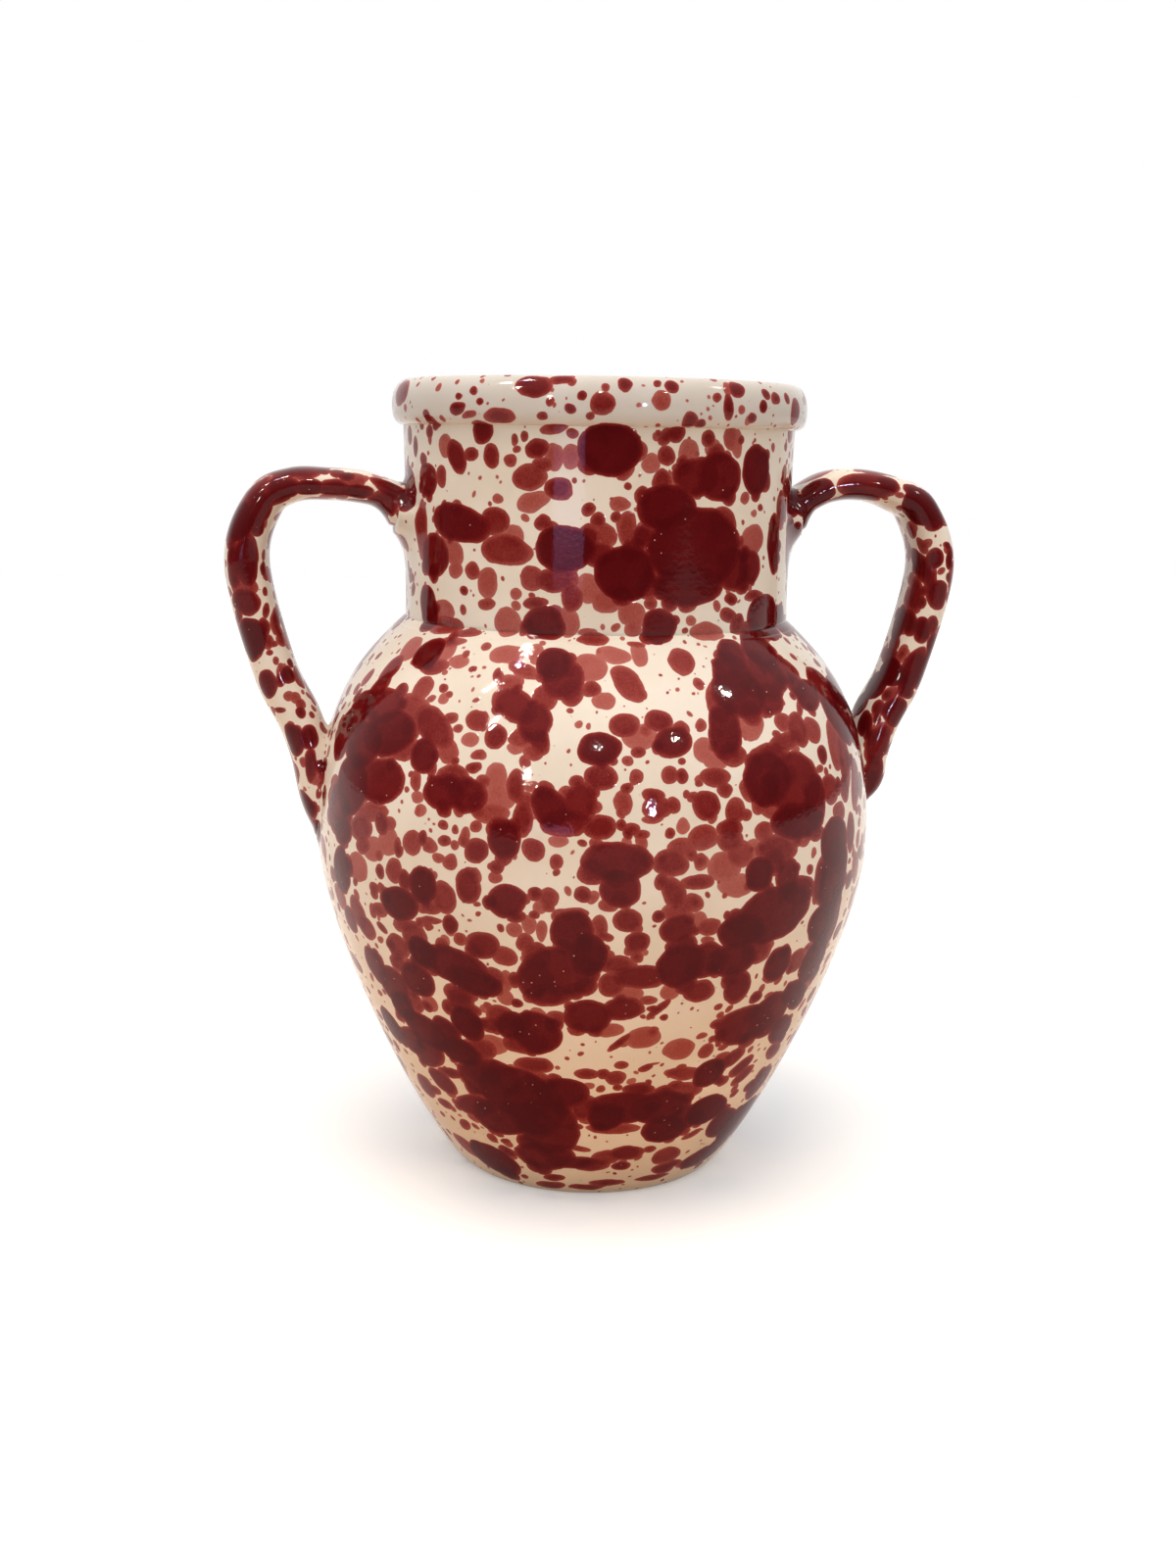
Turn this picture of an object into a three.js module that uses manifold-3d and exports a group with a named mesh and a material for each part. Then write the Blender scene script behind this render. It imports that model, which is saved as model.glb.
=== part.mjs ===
// A two-handled ceramic vase: a round thrown belly, a straight wide neck, a rolled rim
// and two pulled strap handles that run from the neck down to the widest part of the belly.
// Units are millimetres, +Z is up, and the vase stands on z = 0 with its axis on Z.
import * as THREE from "three";
import { mergeVertices } from "three/addons/utils/BufferGeometryUtils.js";
import Module from "manifold-3d";

const wasm = await Module();
wasm.setup();

// Driving dimensions of the thrown body
const baseRadius = 53;
const baseSpread = 7.8;
const bellyRadius = 110;
const bellyHeight = 135;
const bellyFullnessBelow = 43;
const bellyFullnessAbove = 50;
const throwingSeamHeight = 153.4;
const shoulderReach = 19.4;
const shoulderDrop = 17.6;
const neckFootHeight = 220.5;
const ledgeDrop = 2.2;
const neckRadius = 75.2;
const neckWaist = 0.4;
const neckFlare = 0.5;
const rimFootHeight = 293;
const rimHeight = 17.2;
const rimOverhang = 4.3;
const rimTopRound = 7;
const wallThickness = 7.5;
const floorThickness = 10;

// Driving dimensions of a handle's middle line. Reaches are counted outwards from the neck or the belly,
// and drops downwards from the groove under the rim.
const rootReach = 4.3;
const rootDrop = 27;
const springReach = 16;
const springDrop = 23.1;
const archReach = 29;
const archDrop = 22;
const shoulderOfArchReach = 42.5;
const shoulderOfArchDrop = 23.2;
const bendReach = 53.6;
const bendDrop = 30.2;
const sideReach = 60.3;
const sideDrop = 53;
const lowerReach = 16;
const lowerHeight = 200.3;
const meetingReach = 12.8;
const meetingHeight = 180.3;
const pressReach = 4.6;
const pressHeight = 167;
const tailReach = 0.8;
const tailHeight = 154;
const tailEndHeight = 128;

// Driving dimensions of a handle's section along that line
const rootThickness = 11.6;
const archThickness = 12.4;
const bendThickness = 15.4;
const sideThickness = 17.2;
const tailThickness = 16.4;
const tailEndThickness = 9;
const rootWidth = 27;
const strapWidth = 28;
const tailWidth = 33;
const tailEndWidth = 26;
const strapSquareness = 2.4;

// The handles were bent by hand, so one arch stands a little higher than the other
const rightArchRaise = 2;
const leftArchRaise = -0.6;

// Driving dimensions of the clay worked round the handle roots
const upperLutingReach = 13;
const upperLutingSpread = 5;
const upperLutingDrop = 3;
const lowerLutingLength = 56;
const lowerLutingWidth = 50;
const lowerLutingRise = 3.2;
const lutingEdge = 0.6;
const jointGap = 0.3;

// Fineness of the faceted surfaces
const roundSteps = 60;
const curveSteps = 10;
const neckSteps = 4;
const rimSteps = 5;
const strapSteps = 36;
const strapSides = 20;
const moundSides = 24;
const moundRings = 14;

const point = (radius, height) => new THREE.Vector2(radius, height);

function bezierPoints(start, startPull, endPull, end, steps) {
  return new THREE.CubicBezierCurve(start, startPull, endPull, end).getPoints(steps);
}

// Outer outline of the belly and shoulder, from the edge of the flat base to the foot of the neck
function bellyOutline() {
  const below = bezierPoints(
    point(baseRadius, 0),
    point(baseRadius + baseSpread, 0),
    point(bellyRadius, bellyHeight - bellyFullnessBelow),
    point(bellyRadius, bellyHeight),
    curveSteps,
  );
  const above = bezierPoints(
    point(bellyRadius, bellyHeight),
    point(bellyRadius, bellyHeight + bellyFullnessAbove),
    point(neckRadius + shoulderReach, neckFootHeight - shoulderDrop),
    point(neckRadius, neckFootHeight),
    curveSteps,
  );
  return [...below, ...above.slice(1)];
}

// Outer outline of the neck, drawn in a little at its middle and opening towards the rim
function neckOutline() {
  return bezierPoints(
    point(neckRadius, neckFootHeight),
    point(neckRadius - neckWaist, (2 * neckFootHeight + rimFootHeight) / 3),
    point(neckRadius - neckWaist, (neckFootHeight + 2 * rimFootHeight) / 3),
    point(neckRadius + neckFlare, rimFootHeight),
    neckSteps,
  );
}

// Moves an outline sideways along its own normals; a positive distance moves it outwards
function offsetOutline(outline, distance) {
  return outline.map((place, index) => {
    const before = outline[Math.max(index - 1, 0)];
    const after = outline[Math.min(index + 1, outline.length - 1)];
    const along = after.clone().sub(before).normalize();
    return point(place.x + along.y * distance, place.y - along.x * distance);
  });
}

function radiusAt(outline, height) {
  for (let index = 1; index < outline.length; index += 1) {
    const low = outline[index - 1];
    const high = outline[index];
    if (height <= high.y || index === outline.length - 1) {
      const share = (height - low.y) / (high.y - low.y);
      return low.x + (high.x - low.x) * share;
    }
  }
  return outline[0].x;
}

// The stretch of an outline between two heights, with its ends exactly on them
function outlineBetween(outline, lowHeight, highHeight) {
  const inside = outline.filter((place) => place.y > lowHeight + 0.5 && place.y < highHeight - 0.5);
  const first = point(radiusAt(outline, lowHeight), lowHeight);
  const last = point(radiusAt(outline, highHeight), highHeight);
  return [first, ...inside, last];
}

// Turns any closed three.js geometry into a solid that faces outwards
function solidFrom(geometry) {
  const bare = geometry.clone();
  bare.deleteAttribute("normal");
  bare.deleteAttribute("uv");
  const merged = mergeVertices(bare, 1e-4);
  const places = merged.attributes.position;
  const corners = Array.from(merged.index.array);
  const used = [];
  let volume = 0;
  const a = new THREE.Vector3();
  const b = new THREE.Vector3();
  const c = new THREE.Vector3();
  for (let index = 0; index < corners.length; index += 3) {
    const [i, j, k] = corners.slice(index, index + 3);
    if (i === j || j === k || k === i) {
      continue;
    }
    a.fromBufferAttribute(places, i);
    b.fromBufferAttribute(places, j);
    c.fromBufferAttribute(places, k);
    volume += a.dot(b.cross(c)) / 6;
    used.push(i, j, k);
  }
  if (volume < 0) {
    for (let index = 0; index < used.length; index += 3) {
      [used[index], used[index + 1]] = [used[index + 1], used[index]];
    }
  }
  return new wasm.Manifold(new wasm.Mesh({
    numProp: 3,
    vertProperties: new Float32Array(places.array),
    triVerts: new Uint32Array(used),
  }));
}

function geometryFrom(solid) {
  const mesh = solid.getMesh();
  const geometry = new THREE.BufferGeometry();
  geometry.setAttribute("position", new THREE.BufferAttribute(new Float32Array(mesh.vertProperties), 3));
  geometry.setIndex(new THREE.BufferAttribute(new Uint32Array(mesh.triVerts), 1));
  geometry.computeVertexNormals();
  return geometry;
}

// Of the bodies that a cut leaves, only the largest is a piece of the vase
function largestBody(solid) {
  return solid.decompose().sort((one, other) => other.volume() - one.volume())[0];
}

function thrown(profile) {
  const closed = [...profile, profile[0].clone()];
  const geometry = new THREE.LatheGeometry(closed, roundSteps);
  geometry.rotateX(Math.PI / 2);
  return solidFrom(geometry);
}

// Outlines shared by all the thrown sections
const ledgeHeight = neckFootHeight - ledgeDrop;
const outerOutline = [...bellyOutline(), ...neckOutline().slice(1)];
const innerOutline = offsetOutline(outerOutline, -wallThickness);
const bodyRadiusAt = (height) => radiusAt(outerOutline, height);

function makeLowerBody() {
  const outside = outlineBetween(outerOutline, 0, throwingSeamHeight);
  const inside = outlineBetween(innerOutline, floorThickness, throwingSeamHeight);
  return thrown([point(0, 0), ...outside, ...inside.reverse(), point(0, floorThickness)]);
}

function makeSection(lowHeight, highHeight) {
  const outside = outlineBetween(outerOutline, lowHeight, highHeight);
  const inside = outlineBetween(innerOutline, lowHeight, highHeight);
  return thrown([...outside, ...inside.reverse()]);
}

// The rim is a fat roll of clay: it springs from the groove, stands straight and turns over a round lip
function makeRim() {
  const grooveRadius = bodyRadiusAt(rimFootHeight);
  const boreRadius = radiusAt(innerOutline, rimFootHeight);
  const rimRadius = grooveRadius + rimOverhang;
  const topHeight = rimFootHeight + rimHeight;
  const lipRadius = (rimRadius + boreRadius) / 2;
  const roll = bezierPoints(
    point(grooveRadius, rimFootHeight),
    point(rimRadius - 1, rimFootHeight + 0.5),
    point(rimRadius, rimFootHeight + rimOverhang * 0.7),
    point(rimRadius, topHeight - rimTopRound * 1.4),
    rimSteps,
  );
  const outerLip = bezierPoints(
    point(rimRadius, topHeight - rimTopRound * 1.4),
    point(rimRadius, topHeight - rimTopRound * 0.4),
    point(lipRadius + rimTopRound * 0.4, topHeight),
    point(lipRadius, topHeight),
    rimSteps,
  );
  const innerLip = bezierPoints(
    point(lipRadius, topHeight),
    point(lipRadius - rimTopRound * 0.5, topHeight),
    point(boreRadius, topHeight - rimTopRound * 0.4),
    point(boreRadius, topHeight - rimTopRound * 1.2),
    rimSteps - 1,
  );
  return thrown([...roll, ...outerLip.slice(1), ...innerLip.slice(1), point(boreRadius, rimFootHeight)]);
}

// The places that the middle line of a handle passes, with the strap's thickness and width there
function handleStations(archRaise) {
  const station = (reach, height, thickness, width) => ({ reach, height, thickness, width });
  const springWidth = (rootWidth + strapWidth) / 2;
  return [
    station(neckRadius - wallThickness, rimFootHeight - rootDrop - 5, rootThickness, rootWidth),
    station(neckRadius + rootReach, rimFootHeight - rootDrop, rootThickness, rootWidth),
    station(neckRadius + springReach, rimFootHeight - springDrop + archRaise, archThickness, springWidth),
    station(neckRadius + archReach, rimFootHeight - archDrop + archRaise, archThickness, strapWidth),
    station(neckRadius + shoulderOfArchReach, rimFootHeight - shoulderOfArchDrop, archThickness + 1, strapWidth),
    station(neckRadius + bendReach, rimFootHeight - bendDrop, bendThickness, strapWidth),
    station(neckRadius + sideReach, rimFootHeight - sideDrop, sideThickness, strapWidth),
    station(bellyRadius + lowerReach, lowerHeight, sideThickness, strapWidth),
    station(bodyRadiusAt(meetingHeight) + meetingReach, meetingHeight, sideThickness, (strapWidth + tailWidth) / 2),
    station(bodyRadiusAt(pressHeight) + pressReach, pressHeight, tailThickness, tailWidth),
    station(bodyRadiusAt(tailHeight) + tailReach, tailHeight, tailThickness, tailWidth),
    station(bodyRadiusAt(tailEndHeight) - tailEndThickness, tailEndHeight, tailEndThickness, tailEndWidth),
  ];
}

// The middle line and the section's sizes run smoothly through the same stations
function handleLine(archRaise) {
  const stations = handleStations(archRaise);
  const places = stations.map(({ reach, height }) => new THREE.Vector3(reach, 0, height));
  const sizes = stations.map(({ thickness, width }) => new THREE.Vector3(thickness, width, 0));
  return {
    middle: new THREE.CatmullRomCurve3(places, false, "catmullrom", 0.5),
    section: new THREE.CatmullRomCurve3(sizes, false, "catmullrom", 0.5),
    spans: stations.length - 1,
  };
}

const rounded = (value) => Math.sign(value) * Math.abs(value) ** (2 / strapSquareness);

// A closed solid swept along the handle's middle line, between two shares of it.
// grow(share) adds to the section all round, and drop(share) moves it towards the inside of the bend.
function sweptStrap(line, startShare, endShare, steps, grow, drop = () => 0) {
  const places = [];
  const corners = [];
  for (let step = 0; step <= steps; step += 1) {
    const share = startShare + ((endShare - startShare) * step) / steps;
    const centre = line.middle.getPoint(share);
    const along = line.middle.getTangent(share);
    const size = line.section.getPoint(share);
    const growth = grow(step / steps);
    const inward = drop(step / steps);
    for (let side = 0; side < strapSides; side += 1) {
      const angle = (2 * Math.PI * side) / strapSides;
      const outward = (size.x / 2 + growth) * rounded(Math.cos(angle)) - inward;
      const sideways = (size.y / 2 + growth) * rounded(Math.sin(angle));
      places.push(centre.x - along.z * outward, sideways, centre.z + along.x * outward);
    }
  }
  const ends = [line.middle.getPoint(startShare), line.middle.getPoint(endShare)];
  ends.forEach((end) => places.push(end.x, end.y, end.z));
  const startCentre = (steps + 1) * strapSides;
  const lastRing = steps * strapSides;
  for (let side = 0; side < strapSides; side += 1) {
    const next = (side + 1) % strapSides;
    for (let step = 0; step < steps; step += 1) {
      const here = step * strapSides;
      const there = here + strapSides;
      corners.push(here + side, there + side, there + next, here + side, there + next, here + next);
    }
    corners.push(startCentre, side, next);
    corners.push(startCentre + 1, lastRing + next, lastRing + side);
  }
  const geometry = new THREE.BufferGeometry();
  geometry.setAttribute("position", new THREE.Float32BufferAttribute(places, 3));
  geometry.setIndex(corners);
  return solidFrom(geometry);
}

// The body as a filled form, grown by a clearance, for cutting whatever seats on it
function filledBody(clearance) {
  const outline = offsetOutline(outerOutline, clearance);
  const top = outline[outline.length - 1];
  return thrown([point(0, -clearance), point(outline[0].x, -clearance), ...outline.slice(1), point(0, top.y)]);
}

const seatCutter = filledBody(jointGap);

// Clay flared from the strap to the neck, thickest against the neck wall and below the strap
function makeUpperLuting(line, strapCutter) {
  const startShare = 0.5 / line.spans;
  const endShare = (2 + (upperLutingReach - springReach) / (archReach - springReach)) / line.spans;
  const flare = (share) => jointGap + lutingEdge + upperLutingSpread * (1 - share) ** 3;
  const drop = (share) => upperLutingDrop * (1 - share) ** 3;
  const flared = sweptStrap(line, startShare, endShare, 8, flare, drop);
  return largestBody(flared.subtract(strapCutter).subtract(seatCutter));
}

// A low oval mound pressed round the tail where it lies on the belly
function makeLowerLuting(strapCutter) {
  const middleHeight = (meetingHeight + tailEndHeight) / 2 + 5;
  const mound = new THREE.SphereGeometry(1, moundSides, moundRings);
  mound.scale(lowerLutingRise * 2, lowerLutingWidth / 2, lowerLutingLength / 2);
  const lean = Math.atan2(
    bodyRadiusAt(tailEndHeight) - bodyRadiusAt(meetingHeight),
    meetingHeight - tailEndHeight,
  );
  mound.rotateY(-lean);
  mound.translate(bodyRadiusAt(middleHeight) - lowerLutingRise, 0, middleHeight);
  return largestBody(solidFrom(mound).subtract(strapCutter).subtract(seatCutter));
}

// One handle on the +X side with the clay at its two roots
function makeHandlePieces(archRaise) {
  const line = handleLine(archRaise);
  const strap = sweptStrap(line, 0, 1, strapSteps, () => 0);
  const strapCutter = sweptStrap(line, 0, 1, strapSteps, () => jointGap);
  return {
    handle: largestBody(strap.subtract(seatCutter)),
    handle_upper_luting: makeUpperLuting(line, strapCutter),
    handle_lower_luting: makeLowerLuting(strapCutter),
  };
}

const glazed = (color) => new THREE.MeshStandardMaterial({ color, roughness: 0.16, metalness: 0 });

const group = new THREE.Group();

function addPiece(name, solid, color) {
  const mesh = new THREE.Mesh(geometryFrom(solid), glazed(color));
  mesh.name = name;
  group.add(mesh);
}

const oxblood = "#7c2b28";
const cream = "#e4dccf";

addPiece("lower_body", makeLowerBody(), oxblood);
addPiece("shoulder", makeSection(throwingSeamHeight, ledgeHeight), oxblood);
addPiece("neck", makeSection(ledgeHeight, rimFootHeight), oxblood);
addPiece("rim", makeRim(), cream);

Object.entries(makeHandlePieces(rightArchRaise)).forEach(([name, solid]) => {
  addPiece(`right_${name}`, solid, name === "handle" ? oxblood : cream);
});
Object.entries(makeHandlePieces(leftArchRaise)).forEach(([name, solid]) => {
  addPiece(`left_${name}`, solid.mirror([1, 0, 0]), name === "handle" ? oxblood : cream);
});

export default group;
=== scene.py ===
"""A two-handled vase, glazed glossy cream and spattered with dark red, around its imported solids.

Lengths are in metres. The vase stands on z = 0 with its axis on Z, and the handles lie along X.
"""

import math
from collections import namedtuple

import bpy
import numpy as np
from mathutils import Matrix, Vector
from mathutils.bvhtree import BVHTree
from mathutils.kdtree import KDTree


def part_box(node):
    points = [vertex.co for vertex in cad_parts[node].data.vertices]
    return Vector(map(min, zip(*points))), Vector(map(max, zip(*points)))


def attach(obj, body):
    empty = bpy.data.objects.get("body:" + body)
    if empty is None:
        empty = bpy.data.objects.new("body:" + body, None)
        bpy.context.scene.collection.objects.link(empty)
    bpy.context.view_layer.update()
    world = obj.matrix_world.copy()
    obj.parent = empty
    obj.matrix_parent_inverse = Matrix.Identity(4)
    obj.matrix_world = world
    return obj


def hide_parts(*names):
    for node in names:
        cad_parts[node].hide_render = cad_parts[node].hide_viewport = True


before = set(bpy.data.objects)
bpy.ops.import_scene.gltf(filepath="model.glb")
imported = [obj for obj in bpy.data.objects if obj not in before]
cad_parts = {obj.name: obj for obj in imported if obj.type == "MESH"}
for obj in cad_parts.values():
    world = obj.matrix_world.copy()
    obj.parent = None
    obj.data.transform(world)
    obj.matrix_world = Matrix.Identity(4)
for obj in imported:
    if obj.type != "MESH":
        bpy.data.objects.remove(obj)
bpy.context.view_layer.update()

MM = 0.001

# Sizes read from the solids
BELLY_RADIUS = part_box("lower_body")[1][0]
THROWING_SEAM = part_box("lower_body")[1][2]
LEDGE_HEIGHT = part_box("shoulder")[1][2]
RIM_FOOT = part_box("neck")[1][2]
RIM_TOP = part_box("rim")[1][2]
RIM_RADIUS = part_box("rim")[1][0]

# Shape of the thrown body, as the potter's profile
BASE_RADIUS = 53 * MM
BASE_SPREAD = 7.8 * MM
BELLY_HEIGHT = 135 * MM
FULLNESS_BELOW = 43 * MM
FULLNESS_ABOVE = 50 * MM
SHOULDER_REACH = 19.4 * MM
SHOULDER_DROP = 17.6 * MM
NECK_FOOT = LEDGE_HEIGHT + 2.2 * MM
NECK_RADIUS = 75.2 * MM
NECK_WAIST = 0.4 * MM
NECK_FLARE = 0.5 * MM
RIM_OVERHANG = RIM_RADIUS - NECK_RADIUS - NECK_FLARE
RIM_TOP_ROUND = 7 * MM
WALL = 7.5 * MM
FLOOR = 10 * MM
# The crease where the neck was set on the shoulder: millimetres above its foot, and how deep
CREASE = [(-1.1, 0), (-0.7, 0.04), (-0.35, 0.16), (0, 0.26), (0.3, 0.18), (0.7, 0.05), (1.2, 0)]
CREASE_CLEAR = 0.3 * MM

# Fineness of the visible meshes
SIDES = 480
STRAP_SIDES = 84
ROW = 1.35 * MM
INSIDE_ROW = 6 * MM
RIM_ROW = 1.1 * MM
STRAP_ROW = 1.2 * MM
BODY_STEPS = 400
NECK_STEPS = 200
RIM_STEPS = 60
STATION_STEPS = 24
SHARP_FROM = math.radians(50)

# The camera of the photograph: a frame of 1200 by 1600, its focal length in the same pixels
FRAME_WIDE = 1200
FRAME_TALL = 1600
FOCAL_PIXELS = 1760
CAMERA_DISTANCE = 683.8 * MM
CAMERA_HEIGHT = 286.8 * MM
CAMERA_ASIDE = -1.93 * MM
CAMERA_PITCH = math.radians(11.13)
CAMERA_ROLL = math.radians(1.008)
CAMERA_TURN = math.radians(7.5)
SENSOR = 36
NEAREST = 20 * MM
FARTHEST = 30

rng = np.random.default_rng(17)


def camera_axes():
    """The camera's place, and its right, up and forward directions."""
    turn = Matrix.Rotation(-CAMERA_TURN, 3, "Z")
    place = turn @ Vector((CAMERA_ASIDE, -CAMERA_DISTANCE, CAMERA_HEIGHT))
    forward = turn @ Vector((0, math.cos(CAMERA_PITCH), -math.sin(CAMERA_PITCH)))
    level_right = turn @ Vector((1, 0, 0))
    level_up = level_right.cross(forward)
    right = level_right * math.cos(CAMERA_ROLL) + level_up * math.sin(CAMERA_ROLL)
    up = level_up * math.cos(CAMERA_ROLL) - level_right * math.sin(CAMERA_ROLL)
    return place, right, up, forward


def make_camera():
    place, right, up, forward = camera_axes()
    data = bpy.data.cameras.new("camera")
    data.sensor_width = SENSOR
    data.lens = FOCAL_PIXELS / FRAME_TALL * SENSOR
    data.clip_start = NEAREST
    data.clip_end = FARTHEST
    camera = bpy.data.objects.new("camera", data)
    bpy.context.collection.objects.link(camera)
    basis = Matrix((right, up, -forward)).transposed().to_4x4()
    camera.matrix_world = Matrix.Translation(place) @ basis
    bpy.context.scene.camera = camera


def bezier(start, start_pull, end_pull, end, steps):
    share = np.linspace(0, 1, steps + 1)[:, None]
    rest = 1 - share
    corners = [np.array(corner, float) for corner in (start, start_pull, end_pull, end)]
    weights = (rest**3, 3 * rest**2 * share, 3 * rest * share**2, share**3)
    return sum(weight * corner for weight, corner in zip(weights, corners))


def body_outline():
    """The outer profile from the edge of the base to the groove under the rim, as radius and height."""
    belly = (BELLY_RADIUS, BELLY_HEIGHT)
    neck_foot = (NECK_RADIUS, NECK_FOOT)
    below_pull = (BELLY_RADIUS, BELLY_HEIGHT - FULLNESS_BELOW)
    above_pull = (BELLY_RADIUS, BELLY_HEIGHT + FULLNESS_ABOVE)
    shoulder_pull = (NECK_RADIUS + SHOULDER_REACH, NECK_FOOT - SHOULDER_DROP)
    waist = NECK_RADIUS - NECK_WAIST
    low_waist = (waist, (2 * NECK_FOOT + RIM_FOOT) / 3)
    high_waist = (waist, (NECK_FOOT + 2 * RIM_FOOT) / 3)
    below = bezier((BASE_RADIUS, 0), (BASE_RADIUS + BASE_SPREAD, 0), below_pull, belly, BODY_STEPS)
    above = bezier(belly, above_pull, shoulder_pull, neck_foot, BODY_STEPS)
    neck = bezier(neck_foot, low_waist, high_waist, (NECK_RADIUS + NECK_FLARE, RIM_FOOT), NECK_STEPS)
    return np.vstack([below, above[1:], neck[1:]])


OUTLINE = body_outline()


def moved_aside(outline, distance):
    """The outline moved along its own normals, outwards where the distance is positive."""
    along = np.gradient(outline, axis=0)
    along /= np.linalg.norm(along, axis=1)[:, None]
    return outline + distance * np.stack([along[:, 1], -along[:, 0]], axis=1)


INNER = moved_aside(OUTLINE, -WALL)
INNER = INNER[np.r_[True, np.diff(np.maximum.accumulate(INNER[:, 1])) > 0]]


def radius_at(height, outline=OUTLINE):
    return np.interp(height, outline[:, 1], outline[:, 0])


def evenly(line, step, spread=round):
    """The same line with its points spread evenly, about one step apart."""
    lengths = np.r_[0, np.cumsum(np.linalg.norm(np.diff(line[:, :2], axis=0), axis=1))]
    places = np.linspace(0, lengths[-1], max(2, int(spread(lengths[-1] / step)) + 1))
    return np.stack([np.interp(places, lengths, column) for column in line.T], axis=1)


def stretch(outline, low, high):
    """The part of an outline between two heights, ending exactly on them."""
    inside = outline[(outline[:, 1] > low) & (outline[:, 1] < high)]
    return np.vstack([(radius_at(low, outline), low), inside, (radius_at(high, outline), high)])


def mesh_object(name, vertices, quads, triangles=()):
    mesh = bpy.data.meshes.new(name)
    faces = [tuple(face) for face in quads] + [tuple(face) for face in triangles]
    mesh.from_pydata([tuple(vertex) for vertex in vertices], [], faces)
    mesh.validate()
    mesh.polygons.foreach_set("use_smooth", np.ones(len(mesh.polygons), bool))
    mesh.set_sharp_from_angle(angle=SHARP_FROM)
    piece = bpy.data.objects.new(name, mesh)
    bpy.context.collection.objects.link(piece)
    return piece


def strips(rows, sides, wraps=False):
    """The quads between neighbouring rings of points. Where they wrap, the last ring meets the first."""
    side = np.arange(sides)
    after = (side + 1) % sides
    quads = []
    for row in range(rows if wraps else rows - 1):
        low = row * sides
        high = ((row + 1) % rows) * sides
        quads.append(np.stack([low + side, low + after, high + after, high + side], axis=1))
    return np.concatenate(quads)


def caps(rows, sides):
    """The triangles from the first and the last ring to their middle points, which follow all rings."""
    side = np.arange(sides)
    after = (side + 1) % sides
    middle = rows * sides
    last = middle - sides
    first_cap = [(middle, after[k], side[k]) for k in side]
    return first_cap + [(middle + 1, last + side[k], last + after[k]) for k in side]


def turned(name, outline, closed):
    """A surface turned round the Z axis: a closed ring section, or a form closed by its two poles."""
    angles = np.linspace(0, 2 * math.pi, SIDES, endpoint=False)
    ring = np.stack([np.cos(angles), np.sin(angles)], axis=1)
    rows = outline if closed else outline[1:-1]
    vertices = [np.column_stack([ring * radius, np.full(SIDES, height)]) for radius, height in rows]
    if closed:
        return mesh_object(name, np.concatenate(vertices), strips(len(rows), SIDES, wraps=True))
    vertices = np.vstack(vertices + [(0, 0, outline[0][1]), (0, 0, outline[-1][1])])
    return mesh_object(name, vertices, strips(len(rows), SIDES), caps(len(rows), SIDES))


def make_lower_body():
    outside = evenly(stretch(OUTLINE, 0, THROWING_SEAM), ROW)
    inside = evenly(stretch(INNER, FLOOR, THROWING_SEAM), INSIDE_ROW)[::-1]
    base = [(0, 0)] + [(BASE_RADIUS * share, 0) for share in (0.25, 0.5, 0.75, 0.9)]
    floor = [(inside[-1][0] * share, FLOOR) for share in (0.75, 0.5, 0.25)] + [(0, FLOOR)]
    return turned("lower_body_glazed", np.vstack([base, outside, inside, floor]), closed=False)


def creased(rows):
    """The outer rows with the fine crease cut into them."""
    heights = [NECK_FOOT + above * MM for above, _ in CREASE]
    crease = [(radius_at(height) - deep * MM, height) for height, (_, deep) in zip(heights, CREASE)]
    below = rows[rows[:, 1] < heights[0] - CREASE_CLEAR]
    above = rows[rows[:, 1] > heights[-1] + CREASE_CLEAR]
    return np.vstack([below, crease, above])


def make_section(name, low, high):
    outside = evenly(stretch(OUTLINE, low, high), ROW)
    if low < NECK_FOOT < high:
        outside = creased(outside)
    inside = evenly(stretch(INNER, low, high), INSIDE_ROW)[::-1]
    return turned(name, np.vstack([outside, inside]), closed=True)


def make_rim():
    bore = radius_at(RIM_FOOT, INNER)
    lip = (RIM_RADIUS + bore) / 2
    groove = (radius_at(RIM_FOOT), RIM_FOOT)
    groove_pull = (RIM_RADIUS - 1 * MM, RIM_FOOT + 0.5 * MM)
    roll_pull = (RIM_RADIUS, RIM_FOOT + RIM_OVERHANG * 0.7)
    shoulder = (RIM_RADIUS, RIM_TOP - RIM_TOP_ROUND * 1.4)
    edge_height = RIM_TOP - RIM_TOP_ROUND * 0.4
    outer_pull = (lip + RIM_TOP_ROUND * 0.4, RIM_TOP)
    inner_pull = (lip - RIM_TOP_ROUND * 0.5, RIM_TOP)
    bore_top = (bore, RIM_TOP - RIM_TOP_ROUND * 1.2)
    roll = bezier(groove, groove_pull, roll_pull, shoulder, RIM_STEPS)
    outer_lip = bezier(shoulder, (RIM_RADIUS, edge_height), outer_pull, (lip, RIM_TOP), RIM_STEPS)
    inner_lip = bezier((lip, RIM_TOP), inner_pull, (bore, edge_height), bore_top, RIM_STEPS)
    line = np.vstack([roll, outer_lip[1:], inner_lip[1:], [(bore, RIM_FOOT)]])
    return turned("rim_glazed", evenly(line, RIM_ROW), closed=True)


# A handle's middle line as reach from the axis and height, with its thickness and width there
ROOT_THICKNESS = 11.6 * MM
ARCH_THICKNESS = 12.4 * MM
BEND_THICKNESS = 15.4 * MM
SIDE_THICKNESS = 17.2 * MM
TAIL_THICKNESS = 16.4 * MM
TAIL_END_THICKNESS = 9 * MM
ROOT_WIDTH = 27 * MM
STRAP_WIDTH = 28 * MM
TAIL_WIDTH = 33 * MM
TAIL_END_WIDTH = 26 * MM
SQUARENESS = 2.4
# For the right and the left handle: how far its arch is raised, where its tail ends and how proud that is
RIGHT = (2 * MM, 143 * MM, 1.2 * MM)
LEFT = (-0.6 * MM, 126 * MM, -1.6 * MM)
TAIL_HEIGHT = 167 * MM
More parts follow.
